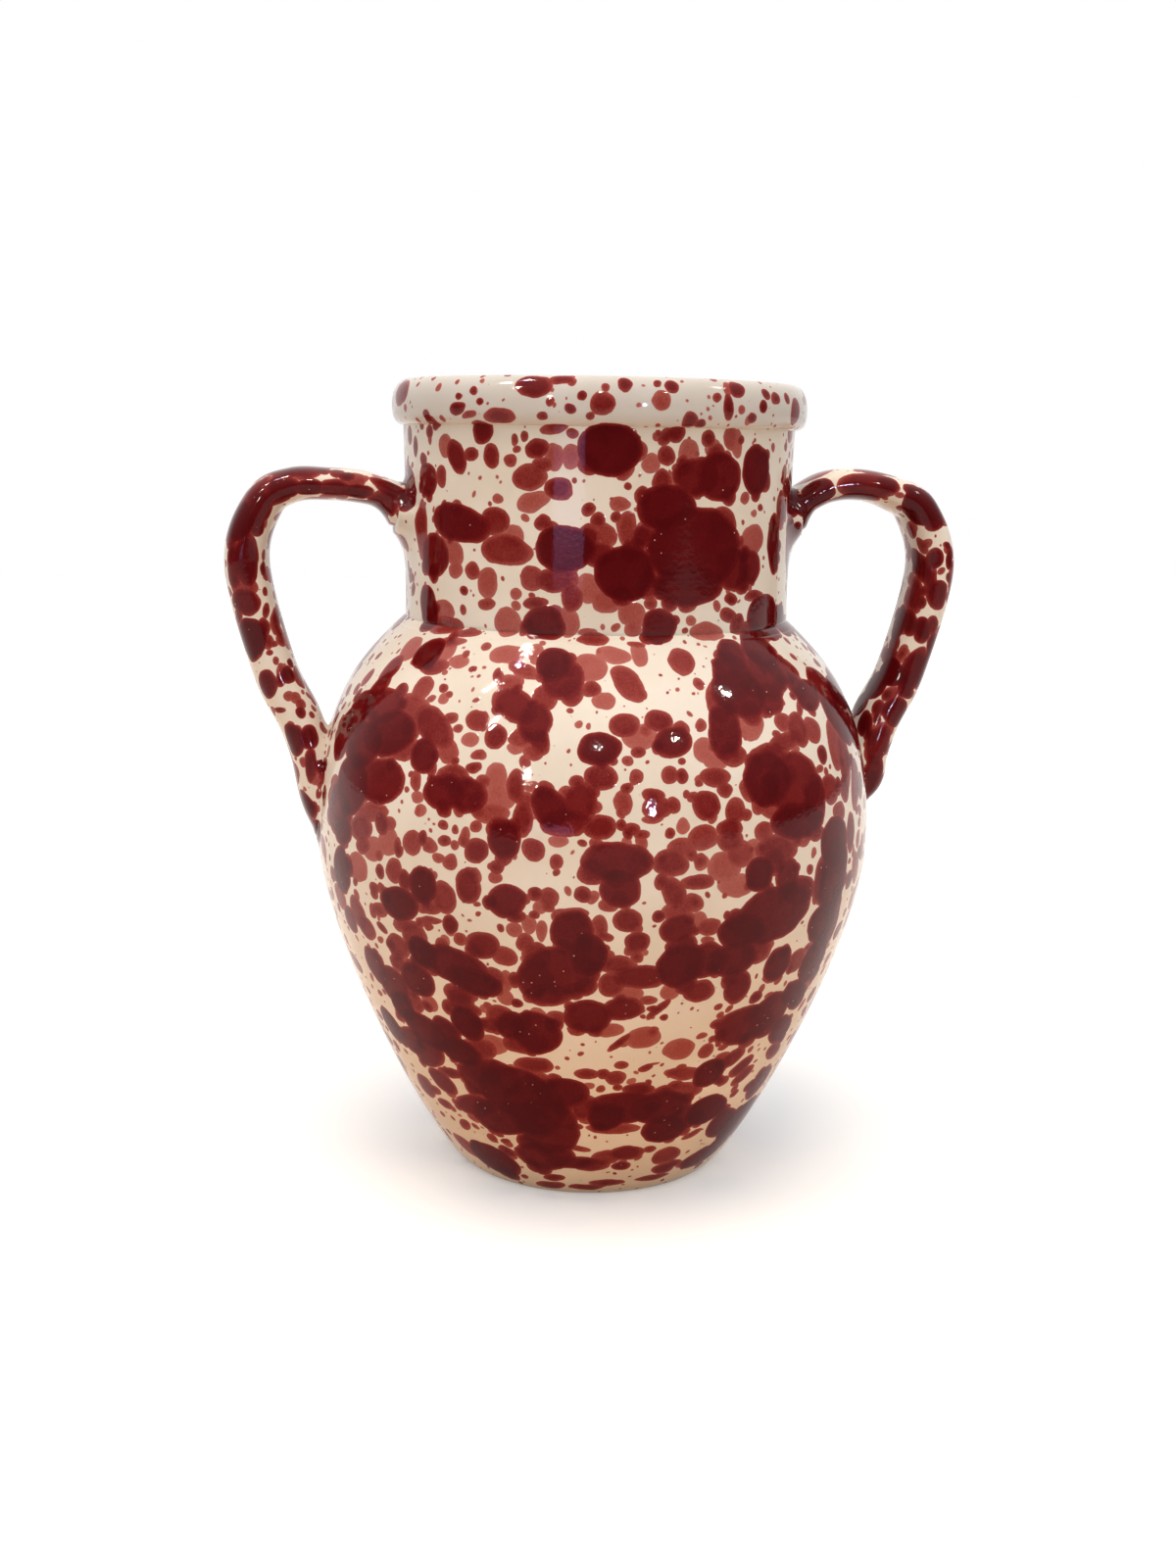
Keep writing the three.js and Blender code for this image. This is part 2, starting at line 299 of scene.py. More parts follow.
# A root ends inside the wall and never shows in the hollow
DEEPEST_ROOT = 5 * MM


def handle_stations(arch_raise, tail_end, tail_proud):
    from_neck = NECK_RADIUS
    from_rim = RIM_FOOT
    spring_width = (ROOT_WIDTH + STRAP_WIDTH) / 2
    wide_tail = (STRAP_WIDTH + TAIL_WIDTH) / 2
    tail = (TAIL_HEIGHT + tail_end) / 2
    return np.array([
        (from_neck - WALL, from_rim - 32 * MM, ROOT_THICKNESS, ROOT_WIDTH),
        (from_neck + 4.3 * MM, from_rim - 27 * MM, ROOT_THICKNESS, ROOT_WIDTH),
        (from_neck + 16 * MM, from_rim - 23.1 * MM + arch_raise, ARCH_THICKNESS, spring_width),
        (from_neck + 29 * MM, from_rim - 22 * MM + arch_raise, ARCH_THICKNESS, STRAP_WIDTH),
        (from_neck + 42.5 * MM, from_rim - 23.2 * MM, ARCH_THICKNESS + 1 * MM, STRAP_WIDTH),
        (from_neck + 53.6 * MM, from_rim - 30.2 * MM, BEND_THICKNESS, STRAP_WIDTH),
        (from_neck + 60.3 * MM, from_rim - 53 * MM, SIDE_THICKNESS, STRAP_WIDTH),
        (BELLY_RADIUS + 16 * MM, 200.3 * MM, SIDE_THICKNESS, STRAP_WIDTH),
        (radius_at(180.3 * MM) + 12.8 * MM, 180.3 * MM, SIDE_THICKNESS, wide_tail),
        (radius_at(TAIL_HEIGHT) + 5 * MM, TAIL_HEIGHT, TAIL_THICKNESS, TAIL_WIDTH),
        (radius_at(tail) + tail_proud, tail, TAIL_THICKNESS - 1 * MM, TAIL_WIDTH),
        (radius_at(tail_end) - TAIL_END_THICKNESS, tail_end, TAIL_END_THICKNESS, TAIL_END_WIDTH),
    ])


def smooth_line(stations, steps):
    """A Catmull-Rom line through the stations, with as many steps between each pair."""
    padded = np.vstack([2 * stations[0] - stations[1], stations, 2 * stations[-1] - stations[-2]])
    rows = []
    for index in range(1, len(padded) - 2):
        before, start, end, after = padded[index - 1:index + 3]
        for share in np.arange(steps) / steps:
            rows.append(0.5 * (
                2 * start
                + (end - before) * share
                + (2 * before - 5 * start + 4 * end - after) * share**2
                + (3 * start - before - 3 * end + after) * share**3
            ))
    rows.append(stations[-1])
    return np.array(rows)


def make_handle(name, side, shape):
    """A pulled strap that springs from the neck and is pressed onto the belly. Side is -1 on the left."""
    rows = evenly(smooth_line(handle_stations(*shape), STATION_STEPS), STRAP_ROW, spread=int)
    along = np.gradient(rows[:, :2], axis=0)
    along /= np.linalg.norm(along, axis=1)[:, None]
    angle = np.linspace(0, 2 * math.pi, STRAP_SIDES, endpoint=False)
    cosine, sine = (
        np.sign(wave) * np.abs(wave) ** (2 / SQUARENESS) for wave in (np.cos(angle), np.sin(angle))
    )
    outward = rows[:, 2:3] / 2 * cosine[None, :]
    sideways = rows[:, 3:4] / 2 * sine[None, :]
    x = rows[:, 0:1] - along[:, 1:2] * outward
    z = rows[:, 1:2] + along[:, 0:1] * outward
    vertices = np.stack([x * side, sideways, z], axis=2).reshape(-1, 3)
    ends = [(rows[k, 0] * side, 0, rows[k, 1]) for k in (0, -1)]
    vertices = np.vstack([vertices, ends])
    reach = np.hypot(vertices[:, 0], vertices[:, 1])
    vertices[:, :2] *= np.maximum((radius_at(vertices[:, 2]) - DEEPEST_ROOT) / reach, 1)[:, None]
    # The right handle mirrors the left one, so its faces wind the other way
    quads = strips(len(rows), STRAP_SIDES)[:, [0, 3, 2, 1] if side > 0 else [1, 2, 3, 0]]
    triangles = [face[::-side] for face in caps(len(rows), STRAP_SIDES)]
    return mesh_object(name, vertices, quads, triangles)


def numbers(items, name, width=3):
    """A named value of each vertex or face, one row for each."""
    values = np.empty(len(items) * width)
    items.foreach_get(name, values)
    return values.reshape(-1, width)


def move_to(piece, places):
    piece.data.vertices.foreach_set("co", places.ravel())
    piece.data.update()


def tree_of(piece):
    return BVHTree.FromObject(piece, bpy.context.evaluated_depsgraph_get())


# Rounds where clay was worked between a handle and the body: wide under its spring, small elsewhere
SPRING_HEIGHT = RIM_FOOT - 27 * MM
UNDER_SPRING = 20 * MM
OVER_SPRING = 4 * MM
TAIL_ROUND = 3.2 * MM
SPRING_FADE = 7 * MM
SPRING_ABOVE = NECK_FOOT + 8 * MM
BODY_SKIN = 1.5 * MM


def fillet_rise(distance, size):
    """How far a surface rises into a round fillet, by its distance from the surface that it meets."""
    near = np.clip(distance, size / 4, size)
    return size + near - 2 * np.sqrt(size * near)


def round_size(places):
    """The size of the round at each place, by how far it lies below the spring of the handle."""
    below = np.clip((SPRING_HEIGHT + 1 * MM - places[:, 2]) / SPRING_FADE, 0, 1)
    spring = OVER_SPRING + (UNDER_SPRING - OVER_SPRING) * below * below * (3 - 2 * below)
    return np.where(places[:, 2] > SPRING_ABOVE, spring, TAIL_ROUND)


def outward_at(places):
    """The body's own outward direction beside each place, and how far the place lies outside the body."""
    radius = np.maximum(np.hypot(places[:, 0], places[:, 1]), 1 * MM)
    along = np.gradient(OUTLINE, axis=0)
    along /= np.linalg.norm(along, axis=1)[:, None]
    level = np.interp(places[:, 2], OUTLINE[:, 1], along[:, 1])
    upward = np.interp(places[:, 2], OUTLINE[:, 1], -along[:, 0])
    direction = np.stack([places[:, 0] / radius * level, places[:, 1] / radius * level, upward], axis=1)
    return direction, (radius - radius_at(places[:, 2])) * level


def fillet_body(piece, handles):
    """Raises the body's surface towards each handle root, so that the clay flows from one to the other."""
    places = numbers(piece.data.vertices, "co")
    outward, proud = outward_at(places)
    rise = np.zeros(len(places))
    sizes = round_size(places)
    for handle in handles:
        tree = tree_of(handle)
        corners = numbers(handle.data.vertices, "co")
        near = (proud > -BODY_SKIN) & np.all(places > corners.min(axis=0) - UNDER_SPRING, axis=1)
        near &= np.all(places < corners.max(axis=0) + UNDER_SPRING, axis=1)
        for index in np.flatnonzero(near):
            hit, _, _, distance = tree.find_nearest(Vector(places[index]), sizes[index])
            if hit is not None:
                way = Vector(outward[index])
                ahead, leaving, _, _ = tree.ray_cast(Vector(places[index]), way)
                inside = ahead is not None and leaving.dot(way) > 0
                rise[index] = max(rise[index], fillet_rise(0 if inside else distance, sizes[index]))
    move_to(piece, places + outward * rise[:, None])


def fillet_handle(handle):
    places = numbers(handle.data.vertices, "co")
    normals = numbers(handle.data.vertices, "normal")
    _, proud = outward_at(places)
    sizes = round_size(places)
    rise = np.where((proud > -1 * MM) & (proud < sizes), fillet_rise(np.maximum(proud, 0), sizes), 0)
    move_to(handle, places + normals * rise[:, None])


# The splatter. Each row is one splash: how far across and down the photograph its middle
# lies, its width and height there, all in the photograph's pixels, its lean in degrees, and THIN where
# the red is thin.
Splash = namedtuple("Splash", "across down wide tall lean thin", defaults=(0, False))
THIN = True
RIM_SPLASHES = [
    (409, 400, 14, 28), (545, 393, 38, 25), (572, 387, 24, 8), (582, 390, 10, 8), (615, 411, 26, 24),
    (637, 392, 15, 14), (675, 409, 20, 22, 0, THIN), (686, 394, 16, 14), (670, 391, 10, 8),
    (744, 416, 10, 32), (732, 405, 10, 9), (752, 397, 14, 18, -25), (781, 402, 8, 12),
    (791, 407, 10, 14), (779, 416, 8, 14), (812, 420, 9, 26), (467, 417, 18, 14, -20),
    (479, 424, 16, 9, -20), (510, 425, 34, 15, -5), (482, 399, 8, 10), (469, 404, 7, 8),
    (489, 410, 9, 9), (435, 424, 8, 11), (441, 431, 12, 10), (553, 424, 12, 11), (582, 416, 13, 11),
    (594, 402, 11, 10), (603, 423, 10, 10), (618, 396, 9, 8), (704, 429, 16, 17), (768, 428, 10, 10),
    (714, 433, 12, 8),
]
NECK_SPLASHES = [
    (622, 458, 63, 54), (493, 440, 20, 26), (466, 466, 18, 38, -15), (455, 455, 14, 26, 10, THIN),
    (481, 463, 14, 16), (502, 466, 17, 26), (521, 469, 13, 13), (566, 438, 30, 14, -8),
    (585, 444, 12, 12), (524, 449, 8, 14), (535, 446, 9, 12), (527, 459, 9, 8), (548, 458, 26, 18, -20),
    (565, 467, 20, 28, 0, THIN), (583, 467, 20, 24, 0, THIN), (540, 487, 35, 28), (553, 474, 22, 16),
    (570, 500, 30, 24), (545, 512, 34, 20, -12, THIN), (509, 509, 11, 11, 0, THIN),
    (537, 528, 10, 10, 0, THIN), (587, 491, 6, 7), (641, 495, 9, 9), (690, 443, 19, 20),
    (680, 466, 18, 20), (664, 474, 20, 21, 0, THIN), (676, 492, 20, 24), (703, 462, 22, 24, 0, THIN),
    (698, 478, 24, 16), (722, 448, 14, 20), (727, 458, 16, 20, 0, THIN), (745, 447, 14, 22, 0, THIN),
    (752, 452, 12, 28, 0, THIN), (735, 487, 42, 50), (711, 487, 46, 40), (680, 518, 60, 44),
    (772, 480, 26, 50), (760, 508, 9, 14, 0, THIN), (776, 519, 6, 8), (712, 560, 90, 80),
    (703, 598, 70, 42), (702, 616, 22, 20), (748, 580, 34, 44), (656, 548, 22, 26),
    (768, 551, 22, 30, 0, THIN), (765, 578, 22, 34), (757, 597, 14, 16), (790, 555, 12, 60),
    (804, 560, 8, 70), (797, 520, 8, 40), (577, 560, 60, 48), (600, 550, 24, 32), (610, 566, 36, 26),
    (638, 585, 60, 56), (543, 590, 24, 26), (568, 592, 44, 26), (600, 520, 16, 15), (611, 532, 17, 16),
    (618, 546, 23, 24), (640, 540, 20, 36), (630, 527, 10, 12), (633, 514, 20, 16, 0, THIN),
    (555, 534, 18, 16), (468, 534, 58, 36, 14), (505, 532, 28, 28), (523, 547, 24, 22, 0, THIN),
    (516, 562, 52, 32, 6), (443, 567, 26, 46), (461, 560, 18, 34, -35, THIN), (430, 540, 12, 60),
    (419, 500, 11, 50), (436, 490, 17, 34), (450, 487, 10, 22), (424, 455, 5, 22), (432, 470, 6, 16),
    (438, 440, 8, 14), (465, 581, 14, 18, 0, THIN), (482, 582, 16, 20), (497, 595, 20, 32, 0, THIN),
    (496, 617, 18, 14), (473, 603, 9, 10), (472, 622, 8, 12), (527, 606, 12, 14, 0, THIN),
    (527, 618, 10, 10, 0, THIN), (543, 608, 7, 7), (533, 588, 7, 7), (547, 616, 26, 13),
    (518, 635, 26, 30, 0, THIN), (555, 636, 44, 34), (580, 634, 24, 30, 0, THIN), (583, 610, 22, 28),
    (600, 600, 24, 30, 0, THIN), (621, 612, 34, 26, 0, THIN), (645, 628, 28, 27, 0, THIN),
    (645, 643, 18, 14, 0, THIN), (664, 616, 14, 14), (672, 640, 34, 38), (722, 646, 34, 24, 0, THIN),
    (705, 635, 12, 12, 0, THIN), (743, 627, 16, 16), (752, 637, 14, 24), (746, 610, 14, 12),
    (780, 630, 28, 46), (765, 645, 26, 20), (770, 608, 20, 14), (437, 622, 16, 50),
    (452, 625, 20, 26, 0, THIN), (455, 640, 34, 18), (478, 646, 28, 8), (605, 653, 34, 14),
    (600, 645, 22, 10, 0, THIN), (796, 635, 10, 40),
]
SHOULDER_SPLASHES = [
    (419, 662, 16, 18, 0, THIN), (437, 667, 26, 26), (453, 664, 22, 22, 0, THIN), (442, 680, 28, 15),
    (468, 675, 22, 12, 0, THIN), (482, 683, 9, 7), (497, 660, 12, 8), (460, 655, 30, 8),
    (517, 668, 33, 18, 0, THIN), (547, 668, 16, 20, 0, THIN), (508, 690, 10, 16), (520, 697, 26, 18),
    (534, 684, 34, 16, 28), (565, 678, 34, 34), (574, 692, 42, 40), (583, 706, 26, 26),
    (556, 712, 24, 25), (600, 681, 38, 28, 0, THIN), (603, 703, 18, 15), (616, 715, 24, 19, 0, THIN),
    (625, 668, 36, 16, 15, THIN), (641, 697, 24, 44, -38), (657, 708, 10, 12),
    (652, 668, 18, 24, 0, THIN), (650, 658, 18, 7), (431, 702, 18, 24, 15), (452, 703, 10, 10),
    (458, 709, 9, 8), (452, 714, 12, 12, 0, THIN), (439, 714, 9, 7), (410, 704, 12, 14),
    (398, 684, 12, 40, 40), (384, 706, 14, 44, 38), (366, 727, 18, 46, 32), (350, 750, 14, 50, 20),
    (392, 720, 36, 30), (396, 748, 48, 44), (370, 760, 32, 44), (423, 722, 36, 26, 40),
    (442, 742, 48, 30, 48), (432, 771, 26, 34), (457, 767, 22, 24), (410, 765, 40, 22),
    (388, 797, 44, 44), (358, 800, 28, 60), (344, 825, 18, 50), (378, 829, 34, 20), (389, 840, 14, 24),
    (350, 848, 16, 30), (460, 733, 14, 12), (467, 744, 10, 9), (487, 735, 24, 20),
    (480, 754, 18, 13, 0, THIN), (488, 769, 14, 12), (484, 783, 15, 12), (506, 751, 22, 25),
    (526, 720, 48, 32, 32), (546, 737, 34, 42), (551, 757, 20, 26), (534, 752, 30, 20),
    (543, 767, 20, 18), (527, 763, 20, 15, 0, THIN), (535, 777, 12, 12), (590, 739, 9, 9, 0, THIN),
    (424, 796, 10, 22), (426, 813, 12, 14, 0, THIN), (428, 827, 14, 13, 0, THIN), (453, 808, 42, 36),
    (462, 794, 34, 28), (476, 812, 40, 36), (493, 797, 14, 14), (506, 796, 24, 34, 0, THIN),
    (509, 814, 34, 26, 0, THIN), (500, 830, 36, 20), (527, 802, 18, 36), (536, 818, 20, 20),
    (533, 838, 22, 36), (515, 857, 34, 38), (508, 845, 24, 24), (556, 808, 20, 20),
    (561, 825, 34, 44, -30), (577, 840, 50, 28), (592, 820, 34, 44), (588, 797, 16, 14),
    (570, 859, 20, 14, 0, THIN), (545, 867, 22, 22), (568, 880, 15, 16), (568, 891, 9, 8),
    (451, 841, 9, 10), (463, 845, 8, 9), (486, 843, 12, 12), (453, 857, 12, 12), (439, 863, 14, 16),
    (473, 857, 13, 14), (463, 862, 10, 12), (447, 875, 12, 11), (459, 880, 16, 18), (486, 868, 24, 26),
    (421, 861, 18, 26), (396, 858, 20, 28, 0, THIN), (406, 865, 9, 22), (368, 845, 20, 26),
    (370, 862, 14, 18), (381, 866, 20, 24, 0, THIN), (508, 885, 13, 13), (507, 895, 14, 12),
    (722, 647, 34, 22, 0, THIN), (696, 676, 25, 26), (714, 698, 12, 11), (748, 668, 26, 30),
    (748, 690, 36, 46), (755, 707, 50, 44), (735, 715, 26, 40), (740, 745, 34, 56), (748, 770, 28, 24),
    (765, 733, 26, 40, 0, THIN), (718, 765, 20, 26, 0, THIN), (730, 776, 24, 18, 0, THIN),
    (775, 663, 30, 30), (782, 688, 34, 46), (786, 712, 24, 30), (800, 684, 28, 22), (812, 700, 18, 22),
    (824, 709, 22, 32, -40), (842, 705, 16, 46, -45), (856, 735, 12, 50, -35), (816, 722, 7, 22),
    (815, 745, 18, 34, -12), (829, 745, 15, 26, -20), (799, 737, 16, 18), (793, 750, 10, 9),
    (800, 758, 40, 18, -25), (787, 772, 40, 26), (784, 795, 46, 54), (812, 802, 48, 66),
    (822, 784, 18, 22, 0, THIN), (832, 818, 20, 54), (790, 822, 30, 28), (815, 838, 50, 34),
    (839, 770, 10, 18), (852, 760, 12, 50, -10), (862, 775, 10, 60, -8), (847, 805, 16, 30),
    (862, 805, 9, 26), (856, 828, 12, 20), (873, 800, 7, 50), (637, 740, 30, 24),
    (652, 752, 36, 26, 0, THIN), (671, 735, 28, 22), (687, 757, 38, 32, -12), (694, 745, 20, 18),
    (612, 764, 42, 32), (651, 768, 16, 12), (641, 777, 12, 11), (696, 778, 9, 8), (613, 793, 32, 26),
    (649, 794, 14, 16), (640, 804, 14, 12), (683, 791, 17, 18), (696, 792, 14, 14), (713, 800, 8, 8),
    (714, 740, 10, 12), (730, 793, 30, 20), (740, 806, 18, 16), (635, 819, 20, 26), (667, 812, 24, 14),
    (670, 824, 30, 22), (665, 835, 22, 10), (687, 822, 16, 18), (701, 810, 8, 10), (720, 822, 26, 29),
    (707, 814, 12, 12), (750, 828, 21, 26), (762, 831, 12, 13), (774, 820, 13, 24), (745, 845, 26, 20),
    (633, 842, 12, 12), (645, 845, 18, 13), (656, 851, 18, 11), (684, 850, 11, 11),
    (697, 843, 14, 16, 0, THIN), (718, 855, 30, 27), (697, 864, 28, 20), (685, 880, 34, 26),
    (715, 878, 14, 14), (745, 858, 26, 22), (756, 872, 26, 28), (770, 868, 20, 26, 0, THIN),
    (793, 866, 40, 30), (820, 852, 14, 24), (832, 850, 18, 18), (852, 860, 24, 50), (868, 850, 8, 40),
    (780, 848, 20, 18), (612, 845, 30, 24), (606, 808, 14, 14),
]
BELLY_SPLASHES = [
    (348, 888, 14, 44), (365, 885, 19, 29, 0, THIN), (388, 889, 9, 16), (402, 888, 16, 24),
    (413, 898, 14, 20), (431, 903, 28, 36), (453, 917, 26, 31), (438, 926, 24, 14), (478, 904, 25, 34),
    (407, 922, 36, 34), (388, 928, 16, 14), (413, 944, 24, 14), (437, 939, 28, 8, 6),
    (459, 944, 18, 20), (470, 959, 14, 12), (454, 960, 11, 12, 0, THIN), (423, 957, 24, 30, 15),
    (406, 966, 20, 24), (431, 972, 34, 24, 30), (462, 985, 74, 32, 18), (482, 1001, 60, 26, 15),
    (470, 1014, 34, 20), (493, 965, 34, 26), (515, 976, 26, 19), (482, 971, 14, 20), (510, 947, 8, 10),
    (524, 949, 17, 14, 0, THIN), (540, 945, 16, 20, 0, THIN), (553, 951, 12, 22, 0, THIN),
    (535, 962, 18, 18), (546, 935, 12, 10), (517, 920, 39, 33), (527, 936, 22, 14), (546, 913, 17, 15),
    (560, 916, 20, 20), (551, 927, 14, 16, 0, THIN), (580, 909, 9, 9, 0, THIN), (595, 913, 18, 16),
    (487, 922, 8, 6), (584, 950, 44, 42), (582, 932, 38, 14), (566, 936, 10, 10), (571, 992, 78, 50),
    (546, 1000, 38, 40), (560, 1016, 50, 22), (600, 975, 38, 42), (548, 976, 30, 28),
    (525, 1000, 14, 18), (504, 998, 20, 22), (516, 1001, 15, 22, 0, THIN), (515, 1017, 18, 16, 0, THIN),
    (527, 1023, 14, 10), (493, 1029, 8, 9, 0, THIN), (477, 1044, 26, 38, -20), (470, 1022, 26, 22),
    (500, 1046, 22, 16), (511, 1038, 30, 24), (522, 1047, 34, 30), (547, 1054, 50, 42),
    (536, 1064, 46, 22), (549, 1036, 20, 16, 0, THIN), (567, 1039, 20, 15),
    (500, 1066, 34, 19, 0, THIN), (488, 1070, 38, 20), (458, 1028, 15, 13, 20),
    (439, 1024, 12, 24, -35, THIN), (423, 1022, 14, 18), (426, 1000, 30, 30), (407, 983, 16, 16),
    (402, 1005, 22, 44, -30), (383, 985, 14, 44, -28), (411, 1027, 16, 32, -20),
    (365, 931, 12, 34, -15), (374, 946, 26, 12, 45), (358, 938, 9, 24, -10), (347, 915, 8, 20),
    (382, 912, 7, 10), (380, 929, 6, 14), (389, 946, 16, 5, 45), (434, 1052, 56, 22, 33),
    (454, 1056, 28, 30, 10), (421, 1062, 16, 34, -35), (437, 1075, 24, 28, -20),
    (400, 1046, 10, 44, -33), (470, 1073, 42, 22, 12), (460, 1095, 26, 8, 10), (452, 1104, 36, 13, 38),
    (435, 1108, 26, 10, 48), (605, 890, 30, 28), (630, 880, 74, 42), (634, 907, 42, 36),
    (621, 924, 20, 13), (684, 883, 34, 24), (676, 900, 14, 18), (716, 880, 16, 16, 0, THIN),
    (711, 900, 38, 17, -5), (740, 884, 34, 30, 0, THIN), (752, 904, 38, 24, 0, THIN),
    (775, 893, 28, 36), (790, 880, 22, 28), (803, 894, 22, 38, 10), (816, 909, 30, 28),
    (791, 933, 80, 46, -20), (757, 950, 44, 34), (774, 966, 32, 18), (741, 935, 8, 10),
    (723, 913, 6, 8), (739, 914, 6, 7), (826, 887, 7, 12), (837, 898, 13, 48, 10),
    (839, 942, 22, 40, 12), (830, 980, 17, 44, 15), (852, 893, 24, 78, 8), (850, 935, 11, 66, 12),
    (873, 885, 5, 30), (688, 912, 22, 34, -18), (706, 922, 24, 19), (690, 931, 30, 19),
    (672, 935, 14, 14), (641, 939, 32, 25), (612, 946, 16, 24), (650, 962, 26, 20),
    (658, 972, 8, 7, 0, THIN), (692, 949, 36, 30), (713, 940, 19, 20, 0, THIN), (724, 947, 24, 19),
    (722, 961, 16, 8), (695, 985, 50, 42), (721, 981, 44, 34), (748, 979, 50, 32, -10),
    (772, 972, 30, 22), (752, 1007, 26, 32, -8), (713, 1012, 30, 21), (684, 1011, 20, 18, 0, THIN),
    (653, 997, 54, 25), (630, 985, 40, 19), (624, 1005, 28, 24), (641, 1015, 32, 16, 0, THIN),
    (662, 1021, 20, 9), (600, 1038, 50, 33), (637, 1030, 40, 24), (620, 1051, 34, 14, 0, THIN),
    (672, 1030, 46, 8, -42), (666, 1030, 14, 7), (677, 1039, 8, 7), (632, 1064, 42, 8, -40),
    (656, 1059, 34, 22, 0, THIN), (733, 1027, 9, 7), (692, 1071, 32, 20, 0, THIN),
    (721, 1072, 17, 12, -35), (733, 1065, 8, 6, -30), (761, 1046, 56, 30, -8), (785, 1036, 44, 28, -30),
    (811, 1015, 32, 20, -55), (797, 1050, 34, 14, -58), (731, 1045, 12, 10), (735, 1057, 14, 13),
    (789, 1072, 22, 9, -50), (794, 984, 22, 34, 8), (786, 998, 14, 11), (813, 980, 13, 24, 15),
    (771, 1018, 18, 9, -40),
]
LOWER_SPLASHES = [
    (498, 1100, 58, 38), (490, 1094, 34, 24), (525, 1115, 68, 48), (485, 1128, 38, 18),
    (512, 1140, 58, 32), (545, 1130, 60, 58), (560, 1152, 58, 56), (556, 1180, 58, 26),
    (575, 1115, 52, 28, 8), (596, 1131, 30, 28), (545, 1087, 40, 17), (598, 1096, 26, 12),
    (600, 1109, 14, 7, 0, THIN), (586, 1150, 20, 7), (590, 1172, 28, 6, 8), (502, 1161, 10, 9),
    (518, 1175, 22, 8, 24), (542, 1186, 16, 8, 15), (475, 1148, 14, 8, 35), (466, 1125, 12, 5, 20),
    (504, 1183, 58, 19, 28), (478, 1170, 40, 8, 36), (566, 1201, 22, 7), (562, 1209, 30, 7),
    (598, 1211, 34, 6), (584, 1186, 56, 13), (698, 1095, 36, 13), (684, 1094, 14, 7, 0, THIN),
    (724, 1095, 30, 26), (736, 1085, 18, 22), (748, 1079, 30, 12, -38), (757, 1088, 34, 9, -40),
    (757, 1098, 30, 8, -40), (737, 1104, 16, 7, -30), (774, 1105, 42, 11, -50),
    (752, 1143, 58, 14, -42), (734, 1166, 52, 10, -38), (715, 1180, 44, 9, -28), (637, 1131, 74, 31),
    (618, 1140, 38, 28), (652, 1112, 34, 13), (696, 1113, 42, 17), (675, 1130, 58, 32),
    (626, 1152, 60, 11), (679, 1152, 44, 24), (702, 1140, 30, 22), (722, 1132, 34, 24),
    (736, 1146, 28, 16, -25), (706, 1157, 24, 5, -25), (616, 1096, 15, 11), (628, 1100, 22, 15),
    (661, 1105, 8, 6), (666, 1086, 26, 4, -10), (639, 1176, 34, 15), (619, 1181, 30, 15),
    (680, 1179, 26, 15), (662, 1173, 14, 7), (604, 1189, 40, 13), (634, 1190, 18, 9),
    (677, 1192, 20, 8), (620, 1207, 58, 6), (666, 1201, 48, 5, -12),
]
